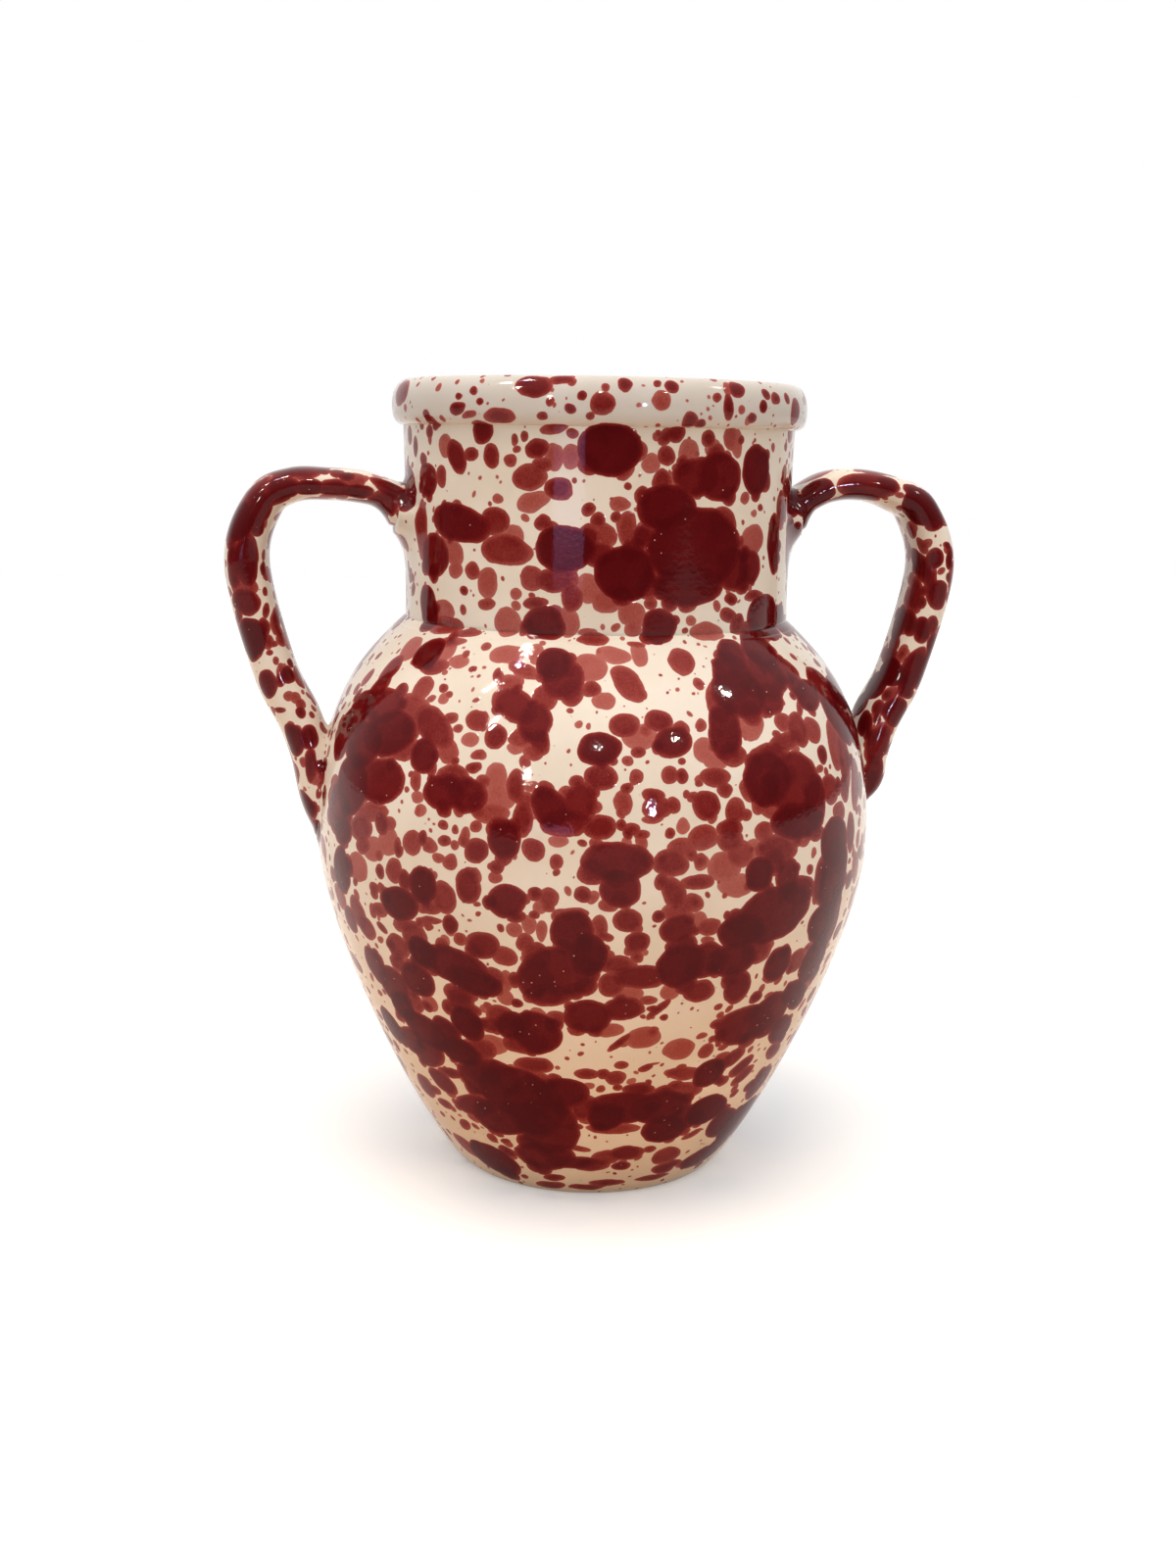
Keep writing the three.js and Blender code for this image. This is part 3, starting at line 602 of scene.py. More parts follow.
HANDLE_SPLASHES = [
    (397, 497, 38, 22, 28), (393, 513, 30, 16, 28), (408, 524, 8, 9), (410, 516, 7, 11, 0, THIN),
    (365, 502, 30, 18), (341, 499, 33, 22), (315, 499, 26, 22), (288, 497, 34, 24), (282, 509, 26, 14),
    (292, 482, 30, 9), (331, 480, 14, 8), (344, 482, 14, 10), (354, 485, 16, 10),
    (363, 488, 20, 12, 0, THIN), (256, 507, 30, 44, 35), (265, 516, 26, 30), (243, 531, 32, 40),
    (262, 535, 17, 22), (235, 547, 14, 20), (253, 571, 22, 50), (238, 576, 20, 46),
    (248, 599, 26, 20, 0, THIN), (248, 615, 36, 24), (243, 630, 8, 12), (255, 652, 32, 36),
    (268, 641, 12, 20), (273, 655, 12, 14, 0, THIN), (269, 566, 4, 12, 0, THIN), (269, 580, 5, 14),
    (260, 568, 4, 14), (270, 604, 5, 10), (271, 624, 7, 14), (282, 634, 8, 24, 0, THIN),
    (287, 652, 8, 14, 0, THIN), (272, 527, 6, 26, 0, THIN), (256, 664, 22, 20),
    (275, 666, 8, 7, 0, THIN), (282, 675, 7, 8, 0, THIN), (258, 672, 7, 6), (272, 698, 22, 24),
    (287, 693, 10, 14), (295, 689, 11, 16, -30), (305, 691, 9, 22, -20, THIN), (297, 677, 5, 9, -20),
    (285, 725, 12, 6), (308, 727, 10, 10), (296, 739, 8, 6, 0, THIN), (299, 755, 24, 32, -20),
    (316, 752, 18, 24), (317, 781, 11, 32), (322, 786, 5, 34), (312, 820, 15, 28, -25),
    (319, 826, 9, 18), (829, 485, 30, 8, -8, THIN), (835, 501, 32, 26), (836, 512, 20, 8),
    (815, 511, 10, 8), (812, 537, 10, 7), (824, 524, 6, 8), (887, 495, 56, 26), (875, 507, 40, 12),
    (906, 493, 20, 14), (930, 498, 14, 12), (942, 516, 34, 36, 20), (954, 531, 22, 22),
    (953, 570, 17, 18), (967, 557, 9, 7), (969, 572, 6, 18), (938, 577, 13, 34, -28),
    (930, 541, 8, 14, 0, THIN), (949, 591, 14, 30), (957, 607, 24, 26), (942, 603, 8, 10),
    (940, 614, 8, 12), (961, 583, 8, 8, 0, THIN), (969, 591, 5, 12), (934, 606, 12, 34),
    (927, 611, 8, 20, 0, THIN), (928, 634, 12, 26), (917, 636, 10, 34, 15), (912, 656, 10, 18),
    (940, 643, 17, 26), (952, 639, 14, 20), (951, 660, 12, 24, 8), (931, 686, 22, 48, 25),
    (944, 682, 16, 40, 25), (921, 692, 12, 22), (921, 668, 10, 20, 25, THIN), (906, 668, 14, 12),
    (907, 685, 20, 26, 30), (892, 699, 26, 13, -48), (878, 717, 14, 18), (905, 709, 10, 11),
    (897, 722, 14, 16), (895, 733, 8, 12), (915, 727, 26, 26), (912, 708, 16, 16, 0, THIN),
    (926, 708, 14, 10), (902, 744, 22, 14, 0, THIN), (896, 760, 20, 38, 22), (894, 787, 15, 30),
    (889, 800, 12, 22), (882, 738, 13, 24), (887, 750, 12, 14), (884, 760, 7, 7, 0, THIN),
]
# Places in the photograph that stay cream: only small drops fall there
OPEN_PLACES = [
    (610, 503, 70, 24), (680, 700, 34, 60), (588, 760, 36, 60), (480, 505, 60, 30),
    (460, 610, 30, 26), (640, 655, 30, 14), (708, 720, 20, 40), (570, 785, 40, 30),
    (480, 690, 40, 30), (455, 890, 20, 20), (535, 895, 40, 20), (705, 1035, 60, 40),
    (485, 940, 40, 30), (735, 922, 30, 30), (600, 1165, 30, 16), (590, 1075, 60, 18),
    (650, 1080, 30, 20), (368, 960, 22, 30), (640, 1163, 60, 10), (430, 785, 14, 14),
    (690, 1175, 20, 10),
]

# How drops are kept: each face of a mesh holds those that reach it
DROPS_A_FACE = 9
DROP_MARGIN = 1.7 * MM
DROP_GAP = 0.45 * MM
BODY_WRAP = 0.25
HANDLE_WRAP = -0.1
LEAST_FACING = 0.35
LONGEST_STRETCH = 3.4
THIN_DROP = (0.65, 1.05)
DEEP_DROP = (1.6, 2.6)
LARGE_FROM = 6 * MM
LARGE_MORE = 1.0
LOBES = 3
LOBE_PLACE = (0.75, 0.95)
LOBE_SIZE = (0.3, 0.5)
SCATTER = 0.4 * MM
NEAR_ENOUGH = 1.5
STRETCH_SPREAD = 0.28


class Spatter:
    """All the drops on the vase, and the faces that each one reaches."""

    def __init__(self, pieces):
        faces = [piece.data.polygons for piece in pieces]
        self.pieces = pieces
        self.starts = np.cumsum([0] + [len(own) for own in faces])
        self.middles = np.concatenate([numbers(own, "center") for own in faces])
        self.normals = np.concatenate([numbers(own, "normal") for own in faces])
        self.areas = np.concatenate([numbers(own, "area", 1)[:, 0] for own in faces])
        self.tree = KDTree(len(self.middles))
        for index, middle in enumerate(self.middles):
            self.tree.insert(middle, index)
        self.tree.balance()
        self.count = np.zeros(len(self.middles), int)
        self.held = np.zeros((len(self.middles), DROPS_A_FACE), int)
        self.places = []
        self.stretches = []
        self.measures = []
        self.reaches = []

    def edge_gap(self, place, radius):
        """How far a drop here would stay from the others' edges; negative where it overlaps one."""
        apart = np.linalg.norm(place - np.array(self.places), axis=1)
        return (apart - np.array(self.reaches) - radius).min()

    def drop(self, place, normal, radius, body, long_way, ratio=1.0, wrap=BODY_WRAP):
        """Adds one drop, longer along a direction, unless too many lie there already."""
        ratio = min(max(ratio, 1.0), LONGEST_STRETCH)
        found = self.tree.find_range(place, radius * ratio + DROP_MARGIN)
        faces = np.array([index for _, index, _ in found], int)
        faces = faces[self.normals[faces] @ normal > wrap]
        if not len(faces) or self.count[faces].max() >= DROPS_A_FACE:
            return
        stretch = np.zeros(3)
        if ratio > 1:
            direction = long_way - normal * (long_way @ normal)
            stretch = direction / np.linalg.norm(direction) * math.sqrt(1 - 1 / ratio)
        self.held[faces, self.count[faces]] = len(self.places)
        self.count[faces] += 1
        self.places.append(place)
        self.stretches.append(stretch)
        self.measures.append((radius, body, 0.0))
        self.reaches.append(radius * math.sqrt(ratio))

    def write(self):
        """Writes the drops to the faces of each piece, for the glaze to read."""
        kinds = (("place", self.places), ("stretch", self.stretches), ("measure", self.measures))
        kinds = [(name, np.array(values)) for name, values in kinds]
        for piece, start, end in zip(self.pieces, self.starts, self.starts[1:]):
            for index in range(DROPS_A_FACE):
                empty = self.count[start:end] <= index
                for name, values in kinds:
                    chosen = values[self.held[start:end, index]]
                    chosen[empty] = 0
                    kept = piece.data.attributes.new(f"drop_{index}_{name}", "FLOAT_VECTOR", "FACE")
                    kept.data.foreach_set("vector", chosen.ravel())


def ray_through(across, down):
    place, right, up, forward = camera_axes()
    aside = (across - FRAME_WIDE / 2) / FOCAL_PIXELS
    above = (FRAME_TALL / 2 - down) / FOCAL_PIXELS
    return place, (forward + right * aside + up * above).normalized()


def first_hit(trees, across, down):
    """Where the camera's ray through a place in the photograph first meets the vase."""
    start, direction = ray_through(across, down)
    hits = [tree.ray_cast(start, direction) for tree in trees]
    hits = [hit for hit in hits if hit[0] is not None]
    if not hits:
        return None, None
    best = min(hits, key=lambda hit: hit[3])
    return np.array(best[0]), np.array(best[1])


def half_axis(trees, middle, normal, splash, step):
    """Half of a splash's width on the surface, from the places on both sides of its middle."""
    place, right, up, _ = camera_axes()
    view = middle - np.array(place)
    depth = np.linalg.norm(view)
    view /= depth
    level = (np.array(right) * step[0] - np.array(up) * step[1]) * depth / FOCAL_PIXELS
    facing = min(view @ normal, -LEAST_FACING)
    on_plane = level - view * (level @ normal) / facing
    farthest = NEAR_ENOUGH * np.linalg.norm(on_plane) + 1 * MM
    found = []
    for sign in (1, -1):
        hit, _ = first_hit(trees, splash.across + sign * step[0], splash.down + sign * step[1])
        if hit is not None and np.linalg.norm(hit - middle) < farthest:
            found.append(sign * (hit - middle))
    half = sum(found) / len(found) if found else on_plane
    return half - normal * (half @ normal)


def splash_on(trees, splash, spread, more, wrap=BODY_WRAP):
    """One splash, set on the surface where the photograph shows it. A large one gets a few lobes."""
    middle, normal = first_hit(trees, splash.across, splash.down)
    if middle is None:
        return
    lean = math.radians(splash.lean)
    half_wide = splash.wide * spread / 2
    half_tall = splash.tall * spread / 2
    wide = (half_wide * math.cos(lean), half_wide * math.sin(lean))
    tall = (-half_tall * math.sin(lean), half_tall * math.cos(lean))
    aside, below = (half_axis(trees, middle, normal, splash, step) for step in (wide, tall))
    short, long = sorted((aside, below), key=np.linalg.norm)
    radius = np.linalg.norm(short)
    large = radius > LARGE_FROM and not splash.thin
    body = rng.uniform(*(THIN_DROP if splash.thin else DEEP_DROP)) + LARGE_MORE * large
    body = max(body + more, THIN_DROP[0])
    spatter.drop(middle, normal, radius, body, long, np.linalg.norm(long) / radius, wrap)
    if large and wrap > 0:
        for _ in range(LOBES):
            turn = rng.uniform(0, 2 * math.pi)
            share = rng.uniform(*LOBE_PLACE)
            size = radius * rng.uniform(*LOBE_SIZE)
            spot = Vector(middle + share * (aside * math.cos(turn) + below * math.sin(turn)))
            nearest = min((tree.find_nearest(spot) for tree in trees), key=lambda hit: hit[3])
            spatter.drop(np.array(nearest[0]), normal, size, rng.uniform(*DEEP_DROP), below)


def spatter_random(count, radii, bodies, merge_share, weights):
    """Scatters drops over the faces by weight, either clear of the others or well onto them."""
    chance = spatter.areas * weights
    least, usual, most = np.array(radii) * MM
    for face in rng.choice(len(chance), size=count, p=chance / chance.sum()):
        radius = rng.triangular(least, usual, most)
        place = spatter.middles[face] + rng.normal(0, SCATTER, 3)
        gap = spatter.edge_gap(place, radius)
        merging = rng.random() < merge_share
        if gap < DROP_GAP and not (merging and gap < -radius / 2):
            radius = radius + gap - DROP_GAP
            if radius < least:
                continue
        ratio = 1 + abs(rng.normal(0, STRETCH_SPREAD))
        body = rng.uniform(*bodies)
        spatter.drop(place, spatter.normals[face], radius, body, rng.normal(0, 1, 3), ratio)


def fill(tree, made, inputs):
    """Joins a node's inputs to other nodes, or gives them a value."""
    for key, value in inputs.items():
        if isinstance(value, bpy.types.NodeSocket):
            tree.links.new(value, made.inputs[key])
        else:
            made.inputs[key].default_value = value


def node(tree, kind, inputs, **settings):
    made = tree.nodes.new(kind)
    for name, value in settings.items():
        setattr(made, name, value)
    fill(tree, made, inputs)
    return made


def math_node(tree, operation, first, second):
    return node(tree, "ShaderNodeMath", {0: first, 1: second}, operation=operation).outputs[0]


def product(tree, value, *others):
    for other in others:
        value = math_node(tree, "MULTIPLY", value, other)
    return value


def vector_node(tree, operation, first, second=(0, 0, 0), output="Vector"):
    other = "Scale" if operation == "SCALE" else 1
    inputs = {0: first, other: second}
    return node(tree, "ShaderNodeVectorMath", inputs, operation=operation).outputs[output]


def ranged(tree, value, low, high, to_low=0.0, to_high=1.0, smooth=False):
    inputs = {"Value": value, "From Min": low, "From Max": high, "To Min": to_low, "To Max": to_high}
    kind = "SMOOTHSTEP" if smooth else "LINEAR"
    return node(tree, "ShaderNodeMapRange", inputs, interpolation_type=kind).outputs["Result"]


def noise(tree, place, scale, detail, output="Fac"):
    inputs = {"Vector": place, "Scale": scale, "Detail": detail}
    return node(tree, "ShaderNodeTexNoise", inputs).outputs[output]


def part_of(tree, vector, axis):
    return node(tree, "ShaderNodeSeparateXYZ", {0: vector}).outputs[axis]


def coloured(tree, value, steps):
    """A colour by a value, from its steps of place and colour."""
    ramp = node(tree, "ShaderNodeValToRGB", {"Fac": value})
    elements = ramp.color_ramp.elements
    while len(elements) < len(steps):
        elements.new(0.5)
    for element, (position, colour) in zip(elements, steps):
        element.position = position
        element.color = colour
    return ramp.outputs["Color"]


# The colour sockets of Blender's mix node, which hold the same names as its other kinds of socket
MIX_SHARE = 0
MIX_FIRST = 6
MIX_SECOND = 7
MIX_RESULT = 2


def mixed(tree, share, first, second):
    """The first colour where the share is 0, and the second where it is 1."""
    inputs = {MIX_SHARE: share, MIX_FIRST: first, MIX_SECOND: second}
    return node(tree, "ShaderNodeMix", inputs, data_type="RGBA").outputs[MIX_RESULT]


def mixed_shader(tree, share, first, second):
    return node(tree, "ShaderNodeMixShader", {0: share, 1: first, 2: second}).outputs[0]


FLOAT = "NodeSocketFloat"
VECTOR = "NodeSocketVector"
COLOR = "NodeSocketColor"


def new_group(name, inputs, outputs):
    """A node group with its inputs (name, kind of socket, usual value) and its outputs (name, kind)."""
    tree = bpy.data.node_groups.new(name, "ShaderNodeTree")
    for label, kind, usual in inputs:
        socket = tree.interface.new_socket(label, in_out="INPUT", socket_type=kind)
        if usual is not None:
            socket.default_value = usual
    for label, kind in outputs:
        tree.interface.new_socket(label, in_out="OUTPUT", socket_type=kind)
    return tree, tree.nodes.new("NodeGroupInput").outputs, tree.nodes.new("NodeGroupOutput").inputs


# How thick a drop is at its rim against its middle, and how much a drop adds where it lies on another
DROP_RIM = 0.55
OVERLAP = 0.2
# How fine the glaze's unevennesses are, in cells to the metre
FLOW_CELLS = 95
RAGGED_CELLS = 380
GRAIN_CELLS = 1500
POOL_CELLS = 130
CLOUD_CELLS = 26
PATCH_CELLS = 34
PIT_CELLS = 360
PEBBLE_CELLS = 620
WAVE_CELLS = 170
GRIT_CELLS = 900


def drop_layer_group():
    """How thick one drop of red lies at a place."""
    tree, given, out = new_group(
        "one drop",
        [("Place", VECTOR, None), ("Middle", VECTOR, None), ("Stretch", VECTOR, None),
         ("Measure", VECTOR, None), ("Edge", FLOAT, 0.45 * MM), ("Deepening", FLOAT, 2.2 * MM)],
        [("Layer", FLOAT)],
    )
    offset = vector_node(tree, "SUBTRACT", given["Place"], given["Middle"])
    along = vector_node(tree, "DOT_PRODUCT", offset, given["Stretch"], "Value")
    pressed = vector_node(tree, "SUBTRACT", offset, vector_node(tree, "SCALE", given["Stretch"], along))
    far = vector_node(tree, "LENGTH", pressed, output="Value")
    inside = math_node(tree, "SUBTRACT", part_of(tree, given["Measure"], "X"), far)
    edge = ranged(tree, inside, 0.0, given["Edge"], smooth=True)
    dome = ranged(tree, inside, 0.0, given["Deepening"], DROP_RIM, 1.0, smooth=True)
    thick = part_of(tree, given["Measure"], "Y")
    tree.links.new(product(tree, edge, dome, thick), out["Layer"])
    return tree


def spatter_group():
    """The thickness of all the red drops at a place, their outlines made uneven by the glaze's flow."""
    one_drop = drop_layer_group()
    tree, given, out = new_group(
        "spatter",
        [("Place", VECTOR, None), ("Flow", FLOAT, 2.8 * MM), ("Ragged", FLOAT, 0.5 * MM)],
        [("Red", FLOAT)],
    )
    place = given["Place"]
    for label, scale in (("Flow", FLOW_CELLS), ("Ragged", RAGGED_CELLS)):
        colour = noise(tree, given["Place"], scale, 1.0, "Color")
        shift = vector_node(tree, "SUBTRACT", colour, (0.5, 0.5, 0.5))
        place = vector_node(tree, "ADD", place, vector_node(tree, "SCALE", shift, given[label]))
    total = None
    for index in range(DROPS_A_FACE):
        inputs = {"Place": place}
        for label, name in (("Middle", "place"), ("Stretch", "stretch"), ("Measure", "measure")):
            read = node(tree, "ShaderNodeAttribute", {}, attribute_name=f"drop_{index}_{name}")
            inputs[label] = read.outputs["Vector"]
        layer = node(tree, "ShaderNodeGroup", inputs, node_tree=one_drop).outputs["Layer"]
        if total is not None:
            under = product(tree, math_node(tree, "MINIMUM", total, layer), OVERLAP)
            layer = math_node(tree, "ADD", math_node(tree, "MAXIMUM", total, layer), under)
        total = layer
    tree.links.new(total, out["Red"])
    return tree


def srgb(*channels):
    """A colour as a maker would read it from 0 to 255, for a shader."""
    shares = [channel / 255 for channel in channels]
    linear = [((share + 0.055) / 1.055) ** 2.4 if share > 0.04 else share / 12.92 for share in shares]
    return (*linear, 1.0)


CREAM = srgb(229, 222, 211)
CREAM_SHADE = srgb(219, 209, 194)
# The rim's two cream tones are painted shade: greyer and darker than the body's cream, for the cooler,
# dimmer light on the rim.
RIM_CREAM_PAINTED_SHADE = srgb(203, 200, 195)
RIM_SECOND_TONE_PAINTED_SHADE = srgb(198, 192, 184)
PIT = srgb(214, 172, 166)
RED_STEPS = [
    (0.0, srgb(190, 124, 114)),
    (0.1, srgb(170, 94, 85)),
    (0.22, srgb(155, 73, 65)),
    (0.38, srgb(137, 51, 46)),
    (0.55, srgb(112, 26, 25)),
    (0.75, srgb(91, 12, 15)),
    (1.0, srgb(78, 6, 10)),
]
CLAY_STEPS = [(0.3, srgb(176, 128, 98)), (0.7, srgb(206, 166, 136))]
# How thick the red lies where it is fully dark, where it covers the cream, and where it gets pits
THICKEST = 4.2
COVERS = (0.02, 0.3)
EVEN = (0.8, 2.4)
PITTED = (2.2, 2.8)
MOST_RAISED = 1.5
PIT_SIZE = (0.06, 0.12)
PIT_CHANCE = 0.55
PIT_PATCH = (0.52, 0.6)
CLOUDY = (0.35, 0.7)
NOISE = (0.3, 0.7)


def glaze_colour_group():
    """Cream glaze with the red drops over it, and the height of its surface."""
    tree, given, out = new_group(
        "spattered glaze",
        [("Place", VECTOR, None), ("Cream", COLOR, CREAM), ("Cream Shade", COLOR, CREAM_SHADE),
         ("Grain", FLOAT, 0.22), ("Pebbles", FLOAT, 0.4), ("Waves", FLOAT, 0.35)],
        [("Color", COLOR), ("Height", FLOAT)],
    )
    place = given["Place"]
    red = node(tree, "ShaderNodeGroup", {"Place": place}, node_tree=spatter_group()).outputs["Red"]
    # The red is uneven in colour, most of all where it lies thin
    thin = ranged(tree, red, *EVEN, 1.0, 0.35)
    grain = ranged(tree, noise(tree, place, GRAIN_CELLS, 2.0), *NOISE, -1.0, 1.0)
    pools = ranged(tree, noise(tree, place, POOL_CELLS, 2.0), *NOISE, -0.16, 0.16)
    uneven = math_node(tree, "ADD", product(tree, grain, given["Grain"], thin), product(tree, pools, thin))
    deep = product(tree, red, math_node(tree, "ADD", 1.0, uneven))
    reds = coloured(tree, math_node(tree, "DIVIDE", deep, THICKEST), RED_STEPS)
    cloud = ranged(tree, noise(tree, place, CLOUD_CELLS, 3.0), *CLOUDY)
    cover = ranged(tree, red, *COVERS)
    colour = mixed(tree, cover, mixed(tree, cloud, given["Cream"], given["Cream Shade"]), reds)
    # Fine pits in patches of the thickest red
    cells = node(tree, "ShaderNodeTexVoronoi", {"Vector": place, "Scale": PIT_CELLS}).outputs
    hole = ranged(tree, cells["Distance"], *PIT_SIZE, 1.0, 0.0)
    chance = node(tree, "ShaderNodeSeparateColor", {0: cells["Color"]}).outputs["Red"]
    patch = ranged(tree, noise(tree, place, PATCH_CELLS, 0.0), *PIT_PATCH)
    chosen = math_node(tree, "GREATER_THAN", chance, PIT_CHANCE)
    pitted = product(tree, hole, chosen, patch, ranged(tree, red, *PITTED))
    tree.links.new(mixed(tree, pitted, colour, PIT), out["Color"])
    raised = product(tree, math_node(tree, "MINIMUM", red, MOST_RAISED), 0.3)
    peel = product(tree, noise(tree, place, PEBBLE_CELLS, 1.0), cover, given["Pebbles"])
    waves = product(tree, noise(tree, place, WAVE_CELLS, 1.0), given["Waves"])
    height = math_node(tree, "ADD", math_node(tree, "ADD", raised, peel), waves)
    tree.links.new(height, out["Height"])
    return tree


GLAZE_ROUGHNESS = 0.05
GLAZE_RELIEF = 0.12 * MM
GLAZE_IOR = 1.5
# The lower the glaze lies, the less it mirrors, because the bright floor fills its mirror
MIRROR_LOW = 0.04
MIRROR_HIGH = 0.14
CLAY_ROUGHNESS = 0.85
CLAY_RELIEF = 0.15 * MM
CLAY_BUMP = 0.6


def new_material(name):
    material = bpy.data.materials.new(name)
    material.use_nodes = True
    tree = material.node_tree
    return material, tree, node(tree, "ShaderNodeTexCoord", {}).outputs["Object"]


def shade(tree, colour, bump_inputs, inputs):
    """Gives the material's own shader its colour, its relief and its other values."""
    normal = node(tree, "ShaderNodeBump", bump_inputs).outputs["Normal"]
    fill(tree, tree.nodes["Principled BSDF"], {"Base Color": colour, "Normal": normal, **inputs})


def glazed_material(name, glaze_tree, pebbles, waves, cream=CREAM, cream_shade=CREAM_SHADE):
    material, tree, place = new_material(name)
    looks = {"Place": place, "Cream": cream, "Cream Shade": cream_shade, "Pebbles": pebbles, "Waves": waves}
    glaze = node(tree, "ShaderNodeGroup", looks, node_tree=glaze_tree).outputs
    low = 0.5 * THROWING_SEAM
    mirror = ranged(tree, part_of(tree, place, "Z"), low, THROWING_SEAM, MIRROR_LOW, MIRROR_HIGH)
    bump = {"Height": glaze["Height"], "Strength": 1.0, "Distance": GLAZE_RELIEF}
    inputs = {"Roughness": GLAZE_ROUGHNESS, "IOR": GLAZE_IOR, "Specular IOR Level": mirror}
    shade(tree, glaze["Color"], bump, inputs)
    return material


def bare_clay_material():
    """The wiped foot, where the pale clay shows."""
    material, tree, place = new_material("bare clay foot")
    grit = noise(tree, place, GRIT_CELLS, 4.0)
    bump = {"Height": grit, "Strength": CLAY_BUMP, "Distance": CLAY_RELIEF}
    shade(tree, coloured(tree, grit, CLAY_STEPS), bump, {"Roughness": CLAY_ROUGHNESS})
    return material


# The room: a white floor and surroundings to look at, warm light back from the floor, and lamps
FLOOR_SIZE = 6.0
FLOOR_GLOW = 0.22
WARM_REACH = 0.75
BEHIND = (0.3, 0.8)
BOUNCE_STEPS = [(0.0, srgb(232, 188, 140)), (1.0, srgb(222, 220, 218))]
FLOOR_WHITE = srgb(243, 243, 242)
ROOM_STEPS = [(0.42, (0.02, 0.02, 0.03, 1)), (0.9, (1.13, 1.18, 1.2, 1))]
WHITE = (1, 1, 1, 1)


def shown_directly(tree, mirrored=1.0):
    """1 for rays from the camera, and the given share for those from a mirror or through glass."""
    path = node(tree, "ShaderNodeLightPath", {}).outputs
    second = math_node(tree, "MAXIMUM", path["Is Glossy Ray"], path["Is Transmission Ray"])
    return math_node(tree, "MAXIMUM", path["Is Camera Ray"], product(tree, second, mirrored))


def make_floor():
    half = FLOOR_SIZE / 2
    corners = [(-half, -half, 0), (half, -half, 0), (half, half, 0), (-half, half, 0)]
    floor = mesh_object("floor", corners, [(0, 1, 2, 3)])
    material, tree, place = new_material("pale floor")
    away = ranged(tree, vector_node(tree, "LENGTH", place, output="Value"), WARM_REACH / 3, WARM_REACH)
    bounce = node(tree, "ShaderNodeBsdfDiffuse", {"Color": coloured(tree, away, BOUNCE_STEPS)}).outputs[0]
    white = node(tree, "ShaderNodeBsdfDiffuse", {"Color": FLOOR_WHITE}).outputs[0]
    glow = node(tree, "ShaderNodeEmission", {"Color": WHITE, "Strength": FLOOR_GLOW}).outputs[0]
    bright = node(tree, "ShaderNodeAddShader", {0: white, 1: glow}).outputs[0]
    surface = mixed_shader(tree, shown_directly(tree), bounce, bright)
    tree.nodes.remove(tree.nodes["Principled BSDF"])
    fill(tree, tree.nodes["Material Output"], {"Surface": surface})
    floor.data.materials.append(material)


def make_world():
    """A room that is dark below and bright above. Its white is seen straight, and mirrored from behind."""
    world = bpy.data.worlds.new("pale room")
    world.use_nodes = True
    tree = world.node_tree
    tree.nodes.clear()
    direction = node(tree, "ShaderNodeTexCoord", {}).outputs["Generated"]
    height = ranged(tree, part_of(tree, direction, "Z"), -1.0, 1.0)
    behind = ranged(tree, part_of(tree, direction, "Y"), *BEHIND)
    room, white = (
        node(tree, "ShaderNodeBackground", {"Color": colour, "Strength": 1.0}).outputs[0]
        for colour in (coloured(tree, height, ROOM_STEPS), WHITE)
    )
    surface = mixed_shader(tree, shown_directly(tree, behind), room, white)
    node(tree, "ShaderNodeOutputWorld", {"Surface": surface})
    bpy.context.scene.world = world


def lamp_at(name, place, aim, wide, tall, power, colour):
    data = bpy.data.lights.new(name, "AREA")
    data.shape = "RECTANGLE"
    data.size = wide
    data.size_y = tall
    data.energy = power
    data.color = colour
    lamp = bpy.data.objects.new(name, data)
    bpy.context.collection.objects.link(lamp)
    lamp.location = place
    lamp.rotation_euler = (Vector(aim) - Vector(place)).to_track_quat("-Z", "Y").to_euler()
    return lamp


LAMP_DISTANCE = 1.6


def mirrored_lamp(name, trees, across, down, wide, tall, power, colour):
    """A lamp that is only seen mirrored by the glaze, at a place in the photograph."""
    _, direction = ray_through(across, down)
    place, normal = (Vector(found) for found in first_hit(trees, across, down))
    outward = direction - 2 * direction.dot(normal) * normal
    spot = place + outward.normalized() * LAMP_DISTANCE
    lamp_at(name, spot, place, wide, tall, power, colour).visible_diffuse = False


bpy.context.scene.view_settings.view_transform = "Standard"
make_camera()
lower_body = make_lower_body()
shoulder = make_section("shoulder_glazed", THROWING_SEAM, LEDGE_HEIGHT)
neck = make_section("neck_glazed", LEDGE_HEIGHT, RIM_FOOT)
rim = make_rim()
right_handle = make_handle("right_handle_glazed", 1, RIGHT)
left_handle = make_handle("left_handle_glazed", -1, LEFT)
for body_piece in (lower_body, shoulder, neck):
    fillet_body(body_piece, (left_handle, right_handle))
for handle in (left_handle, right_handle):
    fillet_handle(handle)

body_trees = [tree_of(piece) for piece in (lower_body, shoulder, neck, rim)]
handle_trees = [tree_of(left_handle), tree_of(right_handle)]
spatter = Spatter([lower_body, shoulder, neck, rim, left_handle, right_handle])

# How far the splashes ran in the firing, and how much thicker their red is made than the others'. The rim's
# thicker red is painted shade, darker for the dimmer light there; the shoulder's thinner red is painted
# light, lighter for the stronger light from above.
for splashes, spread, more in (
    (NECK_SPLASHES, 1.07, 0.0),
    (RIM_SPLASHES, 1.05, 0.6),
    (SHOULDER_SPLASHES, 1.1, -0.3),
    (BELLY_SPLASHES, 1.07, 0.0),
    (LOWER_SPLASHES, 1.06, 0.0),
):
    for row in splashes:
        splash_on(body_trees, Splash(*row), spread, more)
for row in HANDLE_SPLASHES:
    splash_on(handle_trees, Splash(*row), 1.18, 1.0, HANDLE_WRAP)

# Which faces the photograph shows: the body by the side that it lies on, the handles by their own faces
FRONT_FROM = 0.12
EDGE_FROM = 0.05
EDGE_TO = 0.3
BARE_BELOW = 0.3 * MM
PIXEL_ON_VASE = 0.39 * MM
